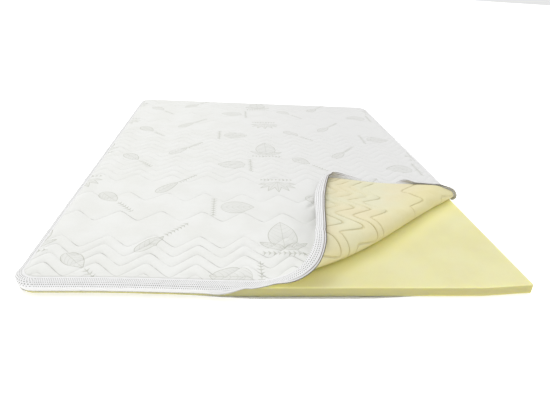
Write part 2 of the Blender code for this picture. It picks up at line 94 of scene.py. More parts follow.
def add_object(name, data):
    made = bpy.data.objects.new(name, data)
    bpy.context.scene.collection.objects.link(made)
    return made


def aim_camera():
    ahead = Vector((math.sin(CAMERA_TURN) * math.cos(CAMERA_DOWN),
                    math.cos(CAMERA_TURN) * math.cos(CAMERA_DOWN), -math.sin(CAMERA_DOWN)))
    level = Vector((math.cos(CAMERA_TURN), -math.sin(CAMERA_TURN), 0.0))
    under = ahead.cross(level)
    right = math.cos(CAMERA_TILT) * level + math.sin(CAMERA_TILT) * under
    down = math.cos(CAMERA_TILT) * under - math.sin(CAMERA_TILT) * level
    place = Vector(CAMERA_PLACE) + Vector(SHIFT)
    lens = bpy.data.cameras.new("camera")
    lens.sensor_width = SENSOR
    lens.lens = LENS_PIXELS * SENSOR / PHOTO_WIDTH
    lens.clip_start, lens.clip_end = NEAREST, FARTHEST
    made = add_object("camera", lens)
    columns = (right, -down, -ahead, place)
    made.matrix_world = Matrix([[column[k] for column in columns] for k in range(3)] + [[0.0, 0.0, 0.0, 1.0]])
    bpy.context.scene.camera = made
    print("lens", round(lens.lens, 1), "mm")


aim_camera()

# %% [markdown]
# ## The fold
# The turned-back corner is a flat sheet rolled round a line from the front edge to the right edge. The
# roll is fat at the front and tight at the right, the fold line bows towards the corner, and the flap
# slopes down and lands on the lid. Simulated cloth would crease where it likes. The rule below puts the
# fold where the photograph has it, and keeps the cloth's length.

# %% The fold's sizes and its rule
FRONT_START, FRONT_DEPTH = 0.009, 0.35
FRONT_FORWARD, FRONT_BACKWARD = (0.15, 0.65, 0.0185), (1.22, 1.42, 0.0140)   # from, to, how far
FOLD_FRONT, FOLD_SIDE = 0.595, 0.599
ROLL_FRONT, ROLL_SIDE, ROLL_EXTRA = 0.040, 0.0095, 0.172
FLAP_REST, LANDING = 0.012, 0.006
FOLD_BULGE, FOLD_SKEW = 0.046, 0.016
FLAP_PULL, FLAP_SLIP, FLAP_BELLY, BELLY_REACH = 0.084, 0.014, 0.089, 0.25
ROLL_SOFTNESS, BELLY_SOFTNESS = 0.37, 0.04
EDGE_LIFT, LIFT_ACROSS, LIFT_PAST, LIFT_BACK = 0.018, (1.20, 0.18), 0.05, (0.47, 0.14)
SLOPE_STEP = 1e-4           # slopes are measured over twice this distance


def soft_step(x):
    x = np.clip(x, 0.0, 1.0)
    return x * x * (3.0 - 2.0 * x)


def rounded_rise(value, softness):
    """0 below 0 and the value itself above, with a rounded corner between."""
    return softness * np.logaddexp(0.0, value / softness)


FOLD_START = np.array([FOLD_FRONT, SEAM_FRONT])
FOLD_LENGTH = math.hypot(SEAM_RIGHT - FOLD_FRONT, FOLD_SIDE - SEAM_FRONT)
FOLD_LINE = np.array([SEAM_RIGHT - FOLD_FRONT, FOLD_SIDE - SEAM_FRONT]) / FOLD_LENGTH
FOLD_NORMAL = np.array([FOLD_LINE[1], -FOLD_LINE[0]])
CORNER_SHARE = (SEAM_RIGHT - FOLD_FRONT) * FOLD_LINE[0] / FOLD_LENGTH


def fold_bulge(share):
    return FOLD_BULGE * 4.0 * share * (1.0 - share) + FOLD_SKEW * np.sin(2.0 * math.pi * share)


def past_fold(across, back):
    """Distance along the fold line, share of its length, and distance past it towards the corner."""
    along = (across - FOLD_START[0]) * FOLD_LINE[0] + (back - FOLD_START[1]) * FOLD_LINE[1]
    past = (across - FOLD_START[0]) * FOLD_NORMAL[0] + (back - FOLD_START[1]) * FOLD_NORMAL[1]
    share = np.clip(along / FOLD_LENGTH, 0.0, 1.0)
    return along, share, past - fold_bulge(share)


def slide(across, stretch):
    return stretch[2] * soft_step((across - stretch[0]) / (stretch[1] - stretch[0]))


def near_front(points):
    return np.clip(1.0 - points[..., 1] / FRONT_DEPTH, 0.0, 1.0) ** 2


def wander_front(points):
    """The topper's front edge isn't straight: everything near it moves a little forward or back."""
    across, near = points[..., 0], near_front(points)
    points[..., 1] += near * (FRONT_START - slide(across, FRONT_FORWARD) + slide(across, FRONT_BACKWARD))
    return points


def fold(across, back):
    """Carry flat points, at the height of the stitch lines on the white side, to where they lie."""
    along, share, past = past_fold(across, back)
    radius = ROLL_FRONT + (ROLL_SIDE - ROLL_FRONT) * share
    full = math.pi + ROLL_EXTRA
    turn = np.clip(past / radius, 0.0, full)
    straight = np.clip(past - radius * full, 0.0, None)
    out = np.where(past < 0.0, past, radius * np.sin(turn) + straight * math.cos(full))
    up = np.where(past < 0.0, 0.0, radius * (1.0 - np.cos(turn)) + straight * math.sin(full))
    landed = FLAP_REST + LANDING * np.logaddexp(0.0, (up - FLAP_REST) / LANDING)
    blend = soft_step((turn / math.pi - 0.5) * 4.0)
    up = up * (1.0 - blend) + landed * blend
    over = rounded_rise(past - radius * full / 2.0, ROLL_SOFTNESS * radius)
    reach = (over - rounded_rise(over - BELLY_REACH, BELLY_SOFTNESS)) / BELLY_REACH
    belly = np.sin(math.pi * np.clip(share / CORNER_SHARE, 0.0, 1.0)) * reach
    near_edge = soft_step((across - LIFT_ACROSS[0]) / LIFT_ACROSS[1]) * soft_step(over / LIFT_PAST)
    up = up + EDGE_LIFT * near_edge * np.exp(-((back - LIFT_BACK[0]) / LIFT_BACK[1]) ** 2)
    out = out + fold_bulge(share) - FLAP_PULL * over - FLAP_BELLY * belly
    along = along + FLAP_SLIP * over
    x = FOLD_START[0] + along * FOLD_LINE[0] + out * FOLD_NORMAL[0]
    y = FOLD_START[1] + along * FOLD_LINE[1] + out * FOLD_NORMAL[1]
    return wander_front(np.stack([x, y, STITCH_Z + up], axis=-1))


def unit(vectors):
    return vectors / np.linalg.norm(vectors, axis=-1, keepdims=True)


def lid_slopes(across, back):
    """The folded lid's two slopes, and the direction that its white side faces."""
    step = SLOPE_STEP
    slope_across = (fold(across + step, back) - fold(across - step, back)) / (2.0 * step)
    slope_back = (fold(across, back + step) - fold(across, back - step)) / (2.0 * step)
    return slope_across, slope_back, unit(np.cross(slope_across, slope_back))


print("fold line", round(FOLD_LENGTH, 3), "m")

# %% [markdown]
# ## The quilting
# The lid is two knits with wadding between them, sewn together in wavy rows. Dense groups of rows
# alternate with loose ones. Between two rows the wadding puffs up, and at a row the thread pulls it
# down into a narrow groove. Puffs and grooves are modelled, so that they catch the light from any side.
# The finest part, the thread and the knit, is left to the finish.

# %% The stitch rows and the height of the puffs
WAVE_PITCH, WAVE_PHASE, WAVE_HEIGHT, WAVE_ROUND = 0.137, 0.037, 0.033, 0.93
# groups of rows: the first and the last crest's distance back, and how many rows
STITCH_GROUPS = ((0.040, 0.248, 5), (0.415, 0.570, 2), (0.740, 1.400, 13),
                 (1.560, 1.715, 2), (1.880, 2.035, 4))
NARROW_GAP = 0.055
PUFF, LINING_PUFF, LINING_GROOVE = 0.0042, 0.0052, 0.0016
SEAM_FADE = 0.018
GROOVE_DEPTH, GROOVE_WIDTH = 0.0012, 0.0042
CREST_LOW, CREST_RISE, CREST_PAST, CREST_SPREAD = 0.42, 0.68, 0.06, 0.24
CRESTS = np.concatenate([np.linspace(*group) for group in STITCH_GROUPS])
ROW_LIMITS = np.concatenate([[CRESTS[0] - NARROW_GAP], CRESTS, [CRESTS[-1] + NARROW_GAP]])


def wave(across):
    """How far a stitch row lies in front of its crest."""
    turn = 2.0 * math.pi * (across - WAVE_PHASE) / WAVE_PITCH
    return WAVE_HEIGHT * (np.arcsin(WAVE_ROUND * np.cos(turn)) / math.asin(WAVE_ROUND) - 1.0)


def seam_distance(across, back):
    to_side = np.minimum(across - SEAM_LEFT, SEAM_RIGHT - across)
    to_end = np.minimum(back - SEAM_FRONT, SEAM_BACK - back)
    in_x = np.clip(SEAM_RADIUS - to_side, 0.0, None)
    in_y = np.clip(SEAM_RADIUS - to_end, 0.0, None)
    rounded = SEAM_RADIUS - np.hypot(in_x, in_y)
    return np.where((in_x > 0.0) & (in_y > 0.0), rounded, np.minimum(to_side, to_end))


def row_share(across, back):
    """A point's share of the way between two stitch rows, and its distance from the nearer one."""
    row = back - wave(across)
    index = np.clip(np.searchsorted(ROW_LIMITS, row, side="right") - 1, 0, len(ROW_LIMITS) - 2)
    gap = ROW_LIMITS[index + 1] - ROW_LIMITS[index]
    share = np.clip((row - ROW_LIMITS[index]) / gap, 0.0, 1.0)
    return share, np.minimum(share, 1.0 - share) * gap


def crest_strength(across):
    """The puffs stand up most at a wave's crest and just past it, and sink between two waves."""
    turn = ((across - WAVE_PHASE) / WAVE_PITCH - CREST_PAST + 0.5) % 1.0 - 0.5
    return CREST_LOW + CREST_RISE * np.exp(-(turn / CREST_SPREAD) ** 2)


def ripple(across, back, size, seed):
    """A gentle unevenness between -1 and 1: five waves that never line up, about this far apart."""
    total = 0.0
    for k in range(5):
        angle = seed + 2.4 * k
        way = math.cos(angle) * across + math.sin(angle) * back
        total = total + np.sin(2.0 * math.pi * way / (size * (0.8 + 0.17 * k)) + 1.7 * k + seed)
    return total / 3.2


print(len(CRESTS), "stitch rows")

# %% [markdown]
# ## Creases
# A few creases are placed where the photograph shows them. Each is a soft trough or ridge along
# a short line on the flat lid. The lid's surface moves with it on both faces, so it stays one cloth.

# %% The creases: from (across, back) to (across, back), half width, height (a trough is negative)
CREASES = (
    (0.832, 0.478, 0.885, 0.555, 0.010, -0.0080),
    (0.865, 0.330, 0.900, 0.620, 0.026, -0.0045),
    (0.800, 0.250, 0.850, 0.420, 0.014, -0.0030),
    (0.730, 0.120, 0.800, 0.360, 0.030, -0.0030),
    (0.560, 0.080, 0.640, 0.200, 0.016, -0.0025),
    (0.640, 0.230, 0.760, 0.300, 0.012, 0.0020),
    (0.240, 0.300, 0.300, 0.210, 0.012, 0.0016),
    (0.420, 0.330, 0.500, 0.250, 0.011, 0.0015),
    (1.300, 0.330, 1.345, 0.480, 0.012, -0.0030),
    (1.215, 0.360, 1.290, 0.470, 0.010, 0.0025),
    (1.090, 0.120, 1.140, 0.260, 0.014, -0.0025),
)
CREASE_TAPER = 0.25         # a crease fades past its ends, over this share of its length


def creases(across, back):
    total = np.zeros_like(across)
    for x0, y0, x1, y1, width, height in CREASES:
        length = math.hypot(x1 - x0, y1 - y0)
        ux, uy = (x1 - x0) / length, (y1 - y0) / length
        along = (across - x0) * ux + (back - y0) * uy
        aside = (across - x0) * -uy + (back - y0) * ux
        beyond = np.clip(-along, 0.0, None) + np.clip(along - length, 0.0, None)
        total += height * np.exp(-(aside / width) ** 2) * np.exp(-(beyond / (CREASE_TAPER * length)) ** 2)
    return total


print(len(CREASES), "creases")

# %% [markdown]
# ## Making the lid
# A grid is drawn flat with its rows bent along the stitch rows, so that a groove always has mesh lines
# in it. Straight cuts trim it to the rounded outline, the roll gets a finer mesh, and an extrusion
# gives it a second face for the lining. Only then does every point go through the fold.

# %% Helpers that make objects
CORNER_CUTS = 8             # cuts that round a corner
SHORTEST_EDGE = 0.0007
TRIM = 0.001                # a grid starts this far outside its outline


def bend_grid(form, columns, rows, place):
    """A grid with one vertex for each column and row, moved to place(column, row)."""
    bmesh.ops.create_grid(form, x_segments=len(columns) - 1, y_segments=len(rows) - 1, size=0.5)
    columns, rows = np.asarray(columns), np.asarray(rows)
    for vertex in form.verts:
        column = columns[round((vertex.co.x + 0.5) * (len(columns) - 1))]
        row = rows[round((vertex.co.y + 0.5) * (len(rows) - 1))]
        vertex.co = place(column, row)


def rounded_corners(low, high, radii):
    """Each corner's centre, starting angle and radius, from the front left one anticlockwise."""
    (left, front), (right, back) = low, high
    a, b, c, d = radii
    return [(left + a, front + a, 180.0, a), (right - b, front + b, 270.0, b),
            (right - c, back - c, 0.0, c), (left + d, back - d, 90.0, d)]


def cut_outline(form, low, high, radii):
    """Trim a flat form to a rectangle with rounded corners."""
    cuts = [(low[0], 0, 180.0), (0, low[1], 270.0), (high[0], 0, 0.0), (0, high[1], 90.0)]
    for x, y, heading, r in rounded_corners(low, high, radii):
        for k in range(1, CORNER_CUTS):
            angle = math.radians(heading + 90.0 * k / CORNER_CUTS)
            cuts.append((x + r * math.cos(angle), y + r * math.sin(angle), math.degrees(angle)))
    for x, y, heading in cuts:
        facing = (math.cos(math.radians(heading)), math.sin(math.radians(heading)), 0.0)
        bmesh.ops.bisect_plane(form, geom=form.verts[:] + form.edges[:] + form.faces[:], dist=1e-6,
                               plane_co=(x, y, 0.0), plane_no=facing, clear_outer=True)
    bmesh.ops.dissolve_degenerate(form, edges=form.edges[:], dist=SHORTEST_EDGE)


def second_face(form):
    """Extrude a flat form one unit down."""
    raised = bmesh.ops.extrude_face_region(form, geom=form.faces[:])
    under = [item for item in raised["geom"] if isinstance(item, bmesh.types.BMVert)]
    bmesh.ops.translate(form, verts=under, vec=(0.0, 0.0, -1.0))


def add_piece(name, form, finishes):
    """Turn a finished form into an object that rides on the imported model's one body."""
    mesh = bpy.data.meshes.new(name)
    form.to_mesh(mesh)
    form.free()
    mesh.shade_smooth()
    for finish in finishes:
        mesh.materials.append(finish)
    made = add_object(name, mesh)
    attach(made, "root")
    print(name, len(mesh.polygons), "faces", sum(len(p.vertices) - 2 for p in mesh.polygons), "triangles")
    return made


def flat_places(form):
    return np.array([vertex.co[:] for vertex in form.verts])


def move_all(form, places):
    for vertex, place in zip(form.verts, places + SHIFT):
        vertex.co = place


print("helpers ready")

# %% The lid's flat grid
COLUMN_STEP = WAVE_PITCH / 16
NEAR_SEAM = 0.3             # no column closer to a side seam, in steps
NARROW_ROWS = (0.0, 0.06, 0.20, 0.40, 0.60, 0.80, 0.94)
WIDE_ROWS = (0.0, 0.02, 0.07) + tuple(0.13 + 0.0675 * k for k in range(12)) + (0.95, 0.98)
WIDE_GAP, ROW_MARGIN = 0.080, 0.012
ROLL_MARGIN = 0.006


def lid_columns():
    first = math.ceil((SEAM_LEFT - WAVE_PHASE) / COLUMN_STEP + NEAR_SEAM)
    last = math.floor((SEAM_RIGHT - WAVE_PHASE) / COLUMN_STEP - NEAR_SEAM)
    inner = WAVE_PHASE + COLUMN_STEP * np.arange(first, last + 1)
    return np.concatenate([[SEAM_LEFT - TRIM], inner, [SEAM_RIGHT + TRIM]])


def lid_rows():
    rows = []
    for low, high in zip(ROW_LIMITS, ROW_LIMITS[1:]):
        shares = NARROW_ROWS if high - low < WIDE_GAP else WIDE_ROWS
        rows.extend(low + (high - low) * share for share in shares)
    rows = np.array(rows)
    return rows[(rows > SEAM_FRONT - ROW_MARGIN) & (rows < SEAM_BACK + 2.0 * WAVE_HEIGHT + ROW_MARGIN)]


def refine_roll(form, tight_from):
    """Halve the mesh of the roll, from this share of the fold line on."""
    middles = np.array([(edge.verts[0].co + edge.verts[1].co)[:2] for edge in form.edges]) / 2.0
    _, share, past = past_fold(middles[:, 0], middles[:, 1])
    radius = ROLL_FRONT + (ROLL_SIDE - ROLL_FRONT) * share
    rolled = radius * (math.pi + ROLL_EXTRA)
    in_roll = (past > -ROLL_MARGIN) & (past < rolled + ROLL_MARGIN) & (share > tight_from)
    chosen = [edge for edge, wanted in zip(form.edges[:], in_roll) if wanted]
    bmesh.ops.subdivide_edges(form, edges=chosen, cuts=1, use_grid_fill=True)


def flat_lid():
    form = bmesh.new()
    bend_grid(form, lid_columns(), lid_rows(), lambda x, v: (x, v + float(wave(x)), 0.0))
    cut_outline(form, (SEAM_LEFT, SEAM_FRONT), (SEAM_RIGHT, SEAM_BACK), (SEAM_RADIUS,) * 4)
    refine_roll(form, 0.02)
    refine_roll(form, 0.55)
    bmesh.ops.recalc_face_normals(form, faces=form.faces[:])
    if sum(face.normal.z for face in form.faces) < 0.0:
        bmesh.ops.reverse_faces(form, faces=form.faces[:])
    return form


print(len(lid_columns()), "columns and", len(lid_rows()), "rows")

# %% [markdown]
# ## Shader words
# A finish is built from maths on a point's place. A small class wraps a shader socket, so that the maths
# reads as ordinary Python, and one method adds any other node.

# %% A small language for finishes


def maths_method(operation):
    """A method that puts a socket, and any other value, through one maths node."""
    return lambda self, *others: self.finish.maths(operation, self, *others)


class Wire:
    """A shader socket that works with Python's own operators."""

    def __init__(self, finish, socket):
        self.finish = finish
        self.socket = socket

    __add__ = __radd__ = maths_method("ADD")
    __sub__ = maths_method("SUBTRACT")
    __mul__ = __rmul__ = maths_method("MULTIPLY")
    __truediv__ = maths_method("DIVIDE")
    __pow__ = maths_method("POWER")
    __abs__ = maths_method("ABSOLUTE")
    at_least = maths_method("MAXIMUM")
    at_most = maths_method("MINIMUM")

    def __rsub__(self, other):
        return self.finish.maths("SUBTRACT", other, self)

    def repeated(self, size):
        """The same pattern again after every size, measured from the middle of each repeat."""
        return self.finish.maths("WRAP", self, size / 2.0, -size / 2.0)

    def rise(self, low, high):
        """0 below low, 1 above high, smooth between. With low above high it falls instead."""
        settings = {"interpolation_type": "SMOOTHSTEP"}
        return self.finish.node("ShaderNodeMapRange", settings, {0: self, 1: low, 2: high})


class Finish:
    """A material for one surface, made of nodes."""

    def __init__(self, name, roughness, **fixed):
        self.material = bpy.data.materials.new(name)
        self.material.use_nodes = True
        self.tree = self.material.node_tree
        self.shader = self.tree.nodes["Principled BSDF"]
        self.rough(roughness)
        for key, value in fixed.items():
            self.join(self.shader.inputs[key.replace("_", " ")], value)

    def join(self, socket, value):
        if isinstance(value, Wire):
            self.tree.links.new(value.socket, socket)
        elif socket.type == "RGBA":
            socket.default_value = (*value, 1.0)
        else:
            socket.default_value = value

    def node(self, kind, settings=None, inputs=None, output=0):
        made = self.tree.nodes.new(kind)
        for key, value in (settings or {}).items():
            setattr(made, key, value)
        for key, value in (inputs or {}).items():
            self.join(made.inputs[key], value)
        return Wire(self, made.outputs[output])

    def maths(self, operation, *values):
        return self.node("ShaderNodeMath", {"operation": operation}, dict(enumerate(values)))

    def mix(self, factor, first, second):
        return self.node("ShaderNodeMix", {"data_type": "RGBA"}, {0: factor, 6: first, 7: second}, 2)

    def split(self, vector):
        made = self.tree.nodes.new("ShaderNodeSeparateXYZ")
        self.join(made.inputs[0], vector)
        return tuple(Wire(self, socket) for socket in made.outputs)

    def uv(self, name):
        return self.node("ShaderNodeUVMap", {"uv_map": name})

    def place(self):
        return self.node("ShaderNodeTexCoord", output="Object")

    def attribute(self, name):
        return self.node("ShaderNodeAttribute", {"attribute_name": name}, output="Fac")

    def noise(self, vector, scale, detail=2.0):
        inputs = {"Vector": vector, "Scale": scale, "Detail": detail}
        return self.node("ShaderNodeTexNoise", None, inputs, "Fac")

    def cells(self, vector, scale):
        return self.node("ShaderNodeTexVoronoi", None, {"Vector": vector, "Scale": scale}, "Distance")

    def colour(self, value):
        self.join(self.shader.inputs["Base Color"], value)

    def rough(self, value):
        self.join(self.shader.inputs["Roughness"], value)

    def bump(self, height, strength):
        """Height in metres."""
        made = self.node("ShaderNodeBump", None, {"Strength": strength, "Distance": 1.0, "Height": height})
        self.join(self.shader.inputs["Normal"], made)


def knitted(u, v, wide, high):
    """Rows of small loops: 0 along the lines through their middles, and 1 where four of them meet."""
    return abs(u.repeated(wide)) * abs(v.repeated(high)) / (wide / 2.0 * (high / 2.0))


def measured(x, y, direction):
    """How far a point lies along a direction."""
    return x * float(direction[0]) + y * float(direction[1])


print("finish words ready")

# %% [markdown]
# ## The woven leaves
# The lid's knit has pale leaves and small plants woven into it, in four columns that repeat across and
# back. They are colour, not relief. A leaf is a rounded base that narrows to a point, with a midrib and
# slanting veins. A plant is a fan of such leaves. Each has a row of tiny leaves beside it, as a border
# sprig. All of them are drawn from a few lengths, in the motif's own directions.

# %% The leaf, the plant and the sprig, as maths on two distances
MOTIF_ACROSS, MOTIF_BACK = 0.745, 0.420
LINE_WIDTH = 0.0026
# where it stands across and back, its direction, and along that: the leaf's base, length and width, and
# the sprig's middle and length
SLANTING_LEAVES = (
    (0.340, 0.243, 53.0, -0.118, 0.118, 0.044, 0.058, 0.105),
    (0.150, 0.060, -49.0, -0.105, 0.100, 0.058, 0.050, 0.090),
)


def outlined(inside, rim_distance, rib_distance, veins):
    """A shape's strength: a strong outline and midrib, fainter veins and a pale body."""
    rim = abs(rim_distance).rise(LINE_WIDTH * 1.25, LINE_WIDTH * 0.75)
    rib = rib_distance.rise(LINE_WIDTH * 0.60, LINE_WIDTH * 0.25)
    return inside * (rim * 0.95).at_least(rib * 0.70).at_least(veins * 0.50).at_least(0.17)


def leaf(along, aside, length, width):
    """How strongly a leaf shows: along runs from its base to its tip."""
    share = (along / length).at_least(0.0001).at_most(0.9999)
    half = (share ** 0.55) * ((1.0 - share) ** 0.9) * (width * 1.30)
    off = abs(aside)
    ends = along.rise(-0.0005, 0.0010) * along.rise(length, length - 0.001)
    inside = (half - off).rise(-0.0006, 0.0006) * ends
    curved = along - off * off * (1.9 / width) - off * 0.35
    veins = abs(curved.repeated(length / 6.0)).rise(LINE_WIDTH * 0.75, LINE_WIDTH * 0.35)
    return outlined(inside, half - off, off, veins)


def plant(along, aside, size):
    """A fan of seven pointed leaves that stands on its base."""
    radius = (along * along + aside * aside) ** 0.5
    turn = along.finish.maths("ARCTAN2", aside, along)
    reached = radius / (size * (1.0 - 0.12 * turn * turn))
    share = reached.at_least(0.0001).at_most(0.9999)
    half = (share ** 0.5) * (1.0 - share) * (size * 0.42)
    off = abs(turn.repeated(0.44)) * radius
    inside = (half - off).rise(-0.0005, 0.0005) * abs(turn).rise(1.56, 1.52) * reached.rise(1.0, 0.99)
    return outlined(inside, half - off, off, 0.0)


def sprig(along, aside, length):
    """A row of small slanting leaves on a thin stem."""
    ends = abs(along).rise(length / 2.0, length / 2.0 - 0.002)
    stem = abs(aside).rise(0.0020, 0.0010) * 0.6
    slant = (along + abs(aside) * 0.6).repeated(0.0150)
    leaflets = (abs(slant) / 0.0036 + abs(aside) / 0.0125).rise(1.15, 0.85) * 0.85
    return ends * stem.at_least(leaflets)


def turned(x, y, degrees):
    """Two distances measured along and square to a direction."""
    c, s = math.cos(math.radians(degrees)), math.sin(math.radians(degrees))
    return x * c + y * s, y * c - x * s


def motif_place(x, y, column, first, degrees, flips):
    """A motif's own directions round its nearest centre. Every second one turns round if it flips."""
    near_x = (x - column).repeated(MOTIF_ACROSS)
    near_y = (y - first).repeated(MOTIF_BACK)
    along, aside = turned(near_x, near_y, degrees)
    if flips:
        turn_at = MOTIF_BACK / 2.0
        other = abs((y - first).repeated(2.0 * MOTIF_BACK)).rise(turn_at - 0.0005, turn_at + 0.0005)
        way = 1.0 - 2.0 * other
        along, aside = along * way, aside * way
    return along, aside


def standing_plants(x, y):
    """A broad leaf between two narrow ones, and a fan of leaves, in turn. Each stands on a sprig."""
    up = (y - 0.205).repeated(2.0 * MOTIF_BACK)
    across = (x - 0.705).repeated(MOTIF_ACROSS)
    total = leaf(up + 0.020, across, 0.160, 0.095)
    for way in (-1.0, 1.0):
        along, aside = turned(up + 0.030, across, way * 62.0)
        total = total.at_least(leaf(along, aside, 0.085, 0.034))
    total = total.at_least(sprig(across, up + 0.052, 0.140))
    down = (0.640 - y).repeated(2.0 * MOTIF_BACK)
    across = (x - 0.725).repeated(MOTIF_ACROSS)
    return total.at_least(plant(down + 0.050, across, 0.100)).at_least(sprig(across, down + 0.074, 0.130))


def woven_leaves(x, y):
    """All the motifs on the lid, as one strength from 0 to 1."""
    total = standing_plants(x, y)
    along, aside = motif_place(x, y, 0.555, 0.035, 180.0, True)
    total = total.at_least(leaf(along + 0.048, aside, 0.118, 0.092))
    total = total.at_least(sprig(aside, along + 0.072, 0.150))
    for column, first, degrees, base, length, width, middle, span in SLANTING_LEAVES:
        along, aside = motif_place(x, y, column, first, degrees, False)
        total = total.at_least(leaf(along - base, aside, length, width))
        total = total.at_least(sprig(along - middle, aside, span))
    return total


print("the motifs repeat every", MOTIF_ACROSS, "m across and", MOTIF_BACK, "m back")

# %% [markdown]
# ## The lid's two finishes
# The white face is a soft matt knit with loops under two millimetres wide. The lining is a thinner cream
# knit. On both, the thread's groove is painted a little darker, as painted shade, because less light gets
# into it.

# %% The white knit
WHITE, BRIGHT_WHITE, SHADED_WHITE = (0.846, 0.850, 0.816), (0.874, 0.879, 0.854), (0.785, 0.785, 0.775)
MOTIF_COLOUR, MOTIF_STRENGTH = (0.33, 0.34, 0.25), 0.62
WHITE_STITCH_SHADE, CREAM_STITCH_SHADE = (0.46, 0.46, 0.43), (0.60, 0.51, 0.20)
CREAM, LIGHT_CREAM, CREAM_FOAM_REFLECTION = (0.815, 0.745, 0.50), (0.79, 0.765, 0.545), (0.81, 0.735, 0.37)


def white_knit():
    finish = Finish("white_knit", 0.85, Sheen_Weight=0.15, Sheen_Roughness=0.5)
    flat = finish.uv("flat")
    x, y, _ = finish.split(flat)
    stitch = finish.attribute("from_stitch")
    # Painted shade in the stitch grooves: patchy, strongest on the waves' falling flanks and towards the
    # front.
    taut = finish.noise(flat, 13.0, 2.0).rise(0.40, 0.60)
    falling = (x - WAVE_PHASE - WAVE_PITCH * 0.25).repeated(WAVE_PITCH)
    flank = abs(falling).rise(WAVE_PITCH * 0.27, WAVE_PITCH * 0.20)
    nearer = y.rise(0.85, 0.35).at_least(0.34)
    stitch_shade = stitch.rise(0.0026, 0.0008) * (0.15 + taut * (0.25 + 0.60 * flank)) * nearer
    motif = woven_leaves(x, y)
    cloud = finish.noise(flat, 9.0, 3.0)
    knit = finish.mix(cloud.rise(0.35, 0.65), WHITE, BRIGHT_WHITE)
    # Painted shade: the white is greyer towards the right and the back, where less light falls.
    knit = finish.mix(x.rise(0.10, 1.30) * y.rise(0.00, 0.70), knit, SHADED_WHITE)
    knit = finish.mix(stitch_shade * 0.75, knit, WHITE_STITCH_SHADE)
    yarn = knitted(x, y + abs(x.repeated(0.0022)) * 0.8, 0.0022, 0.0018)
    woven = motif * (0.75 + 0.25 * finish.noise(flat, 420.0, 1.0).rise(0.35, 0.65))
    finish.colour(finish.mix(woven * MOTIF_STRENGTH, knit, MOTIF_COLOUR))
    finish.rough(0.88 - 0.10 * motif)
    dimples = finish.noise(flat, 60.0, 3.0) * 0.0012
    finish.bump(dimples + yarn * 0.00022 - stitch_shade * 0.0010 - motif * 0.00015, 0.7)
    return finish.material


def cream_lining():
    finish = Finish("cream_lining", 0.9, Sheen_Weight=0.1, Sheen_Roughness=0.5)
    flat = finish.uv("flat")
    x, y, _ = finish.split(flat)
    stitch = finish.attribute("from_stitch")
    past = measured(x - FOLD_FRONT, y - SEAM_FRONT, FOLD_NORMAL)
    # Painted shade in the stitch grooves: full near the fold, elsewhere patchy dashes on the waves' rising
    # flanks.
    rising = abs((x - WAVE_PHASE + WAVE_PITCH * 0.25).repeated(WAVE_PITCH))
    taut = rising.rise(WAVE_PITCH * 0.24, WAVE_PITCH * 0.14) * finish.noise(flat, 17.0, 2.0).rise(0.40, 0.60)
    stitch_shade = stitch.rise(0.0042, 0.0012) * past.rise(0.27, 0.20).at_least(taut).at_least(0.12)
    cloud = finish.noise(flat, 7.0, 3.0)
    knit = finish.mix(cloud.rise(0.35, 0.65), CREAM, LIGHT_CREAM)
    # Painted reflection: the lining is a deeper yellow near the fold, where the yellow foam lights it.
    knit = finish.mix(past.rise(0.19, 0.05) * 0.7, knit, CREAM_FOAM_REFLECTION)
    finish.colour(finish.mix(stitch_shade * 0.28, knit, CREAM_STITCH_SHADE))
    yarn = knitted(x, y, 0.0018, 0.0020)
    puckers = finish.noise(flat, 26.0, 2.0) * 0.0060 + finish.noise(flat, 60.0, 2.0) * 0.0016
    finish.bump(puckers + yarn * 0.0002 - stitch_shade * 0.0024, 0.8)
    return finish.material


# %% The lid's two faces as heights
RIM_BULGE = 0.0006
FAR_SINK, FAR_FROM, FAR_OVER = 0.40, 0.45, 0.45      # the quilting is flatter towards the back
UNEVEN = ((0.22, 0.23, 0.4), (0.10, 0.06, 2.1))      # strength, size and seed of the puffs' unevenness
SLACK, SLACK_UNEVEN = 0.0012, (0.0010, 0.31, 1.1)    # the lid's looseness over the foam
SLACK_END = 0.05                                     # it ends over this distance, at the fold line
LINING_FROM, LINING_OVER = 0.025, 0.03               # the lining is quilted from here past the fold line
RESTING = 0.022                                      # the lining keeps off the foam up to here past it
THINNEST = 0.0035


def lid_heights(across, back):
    """How far the white face and the lining lie from the fold's own surface."""
    _, _, past = past_fold(across, back)
    share, from_stitch = row_share(across, back)
    fade = soft_step(seam_distance(across, back) / SEAM_FADE)
    full = 1.0
    for strength, size, seed in UNEVEN:
        full = full + strength * ripple(across, back, size, seed)
    flatter = 1.0 - FAR_SINK * soft_step((back - FAR_FROM) / FAR_OVER)
    puff = np.sin(math.pi * share) ** 0.7 * fade * full * crest_strength(across) * flatter
    pulled = np.exp(-(from_stitch / GROOVE_WIDTH) ** 2)
    groove = GROOVE_DEPTH * pulled * fade * flatter
    sunk = LINING_GROOVE * pulled * fade
    strength, size, seed = SLACK_UNEVEN
    slack = (SLACK + strength * ripple(across, back, size, seed)) * fade * soft_step(-past / SLACK_END + 0.5)
    upper = PUFF * puff - groove + slack + creases(across, back)
    free = soft_step((past - LINING_FROM) / LINING_OVER)
    lower = -LID_THICK - (LINING_PUFF * puff - sunk) * free + creases(across, back)
    lower = np.where(past < RESTING, np.maximum(lower, -LID_THICK), lower)
    return np.maximum(upper, lower + THINNEST), lower, from_stitch


print("the lid is", round(LID_THICK * 1000.0, 1), "mm thick at a stitch row")


# %% The lid, extruded and folded
def fold_lid(form, across, back, depth):
    """Carry every point to its place. Depth runs from 0 on the white face to 1 on the lining."""
    slope_across, slope_back, facing = lid_slopes(across, back)
    upper, lower, from_stitch = lid_heights(across, back)
    out_x = seam_distance(across - SLOPE_STEP, back) - seam_distance(across + SLOPE_STEP, back)
    out_y = seam_distance(across, back - SLOPE_STEP) - seam_distance(across, back + SLOPE_STEP)
    outward = unit(slope_across * out_x[:, None] + slope_back * out_y[:, None] + 1e-12)
    height = upper * (1.0 - depth) + lower * depth
    bulge = RIM_BULGE * np.sin(math.pi * depth)
    move_all(form, fold(across, back) + facing * height[:, None] + outward * bulge[:, None])
    return from_stitch


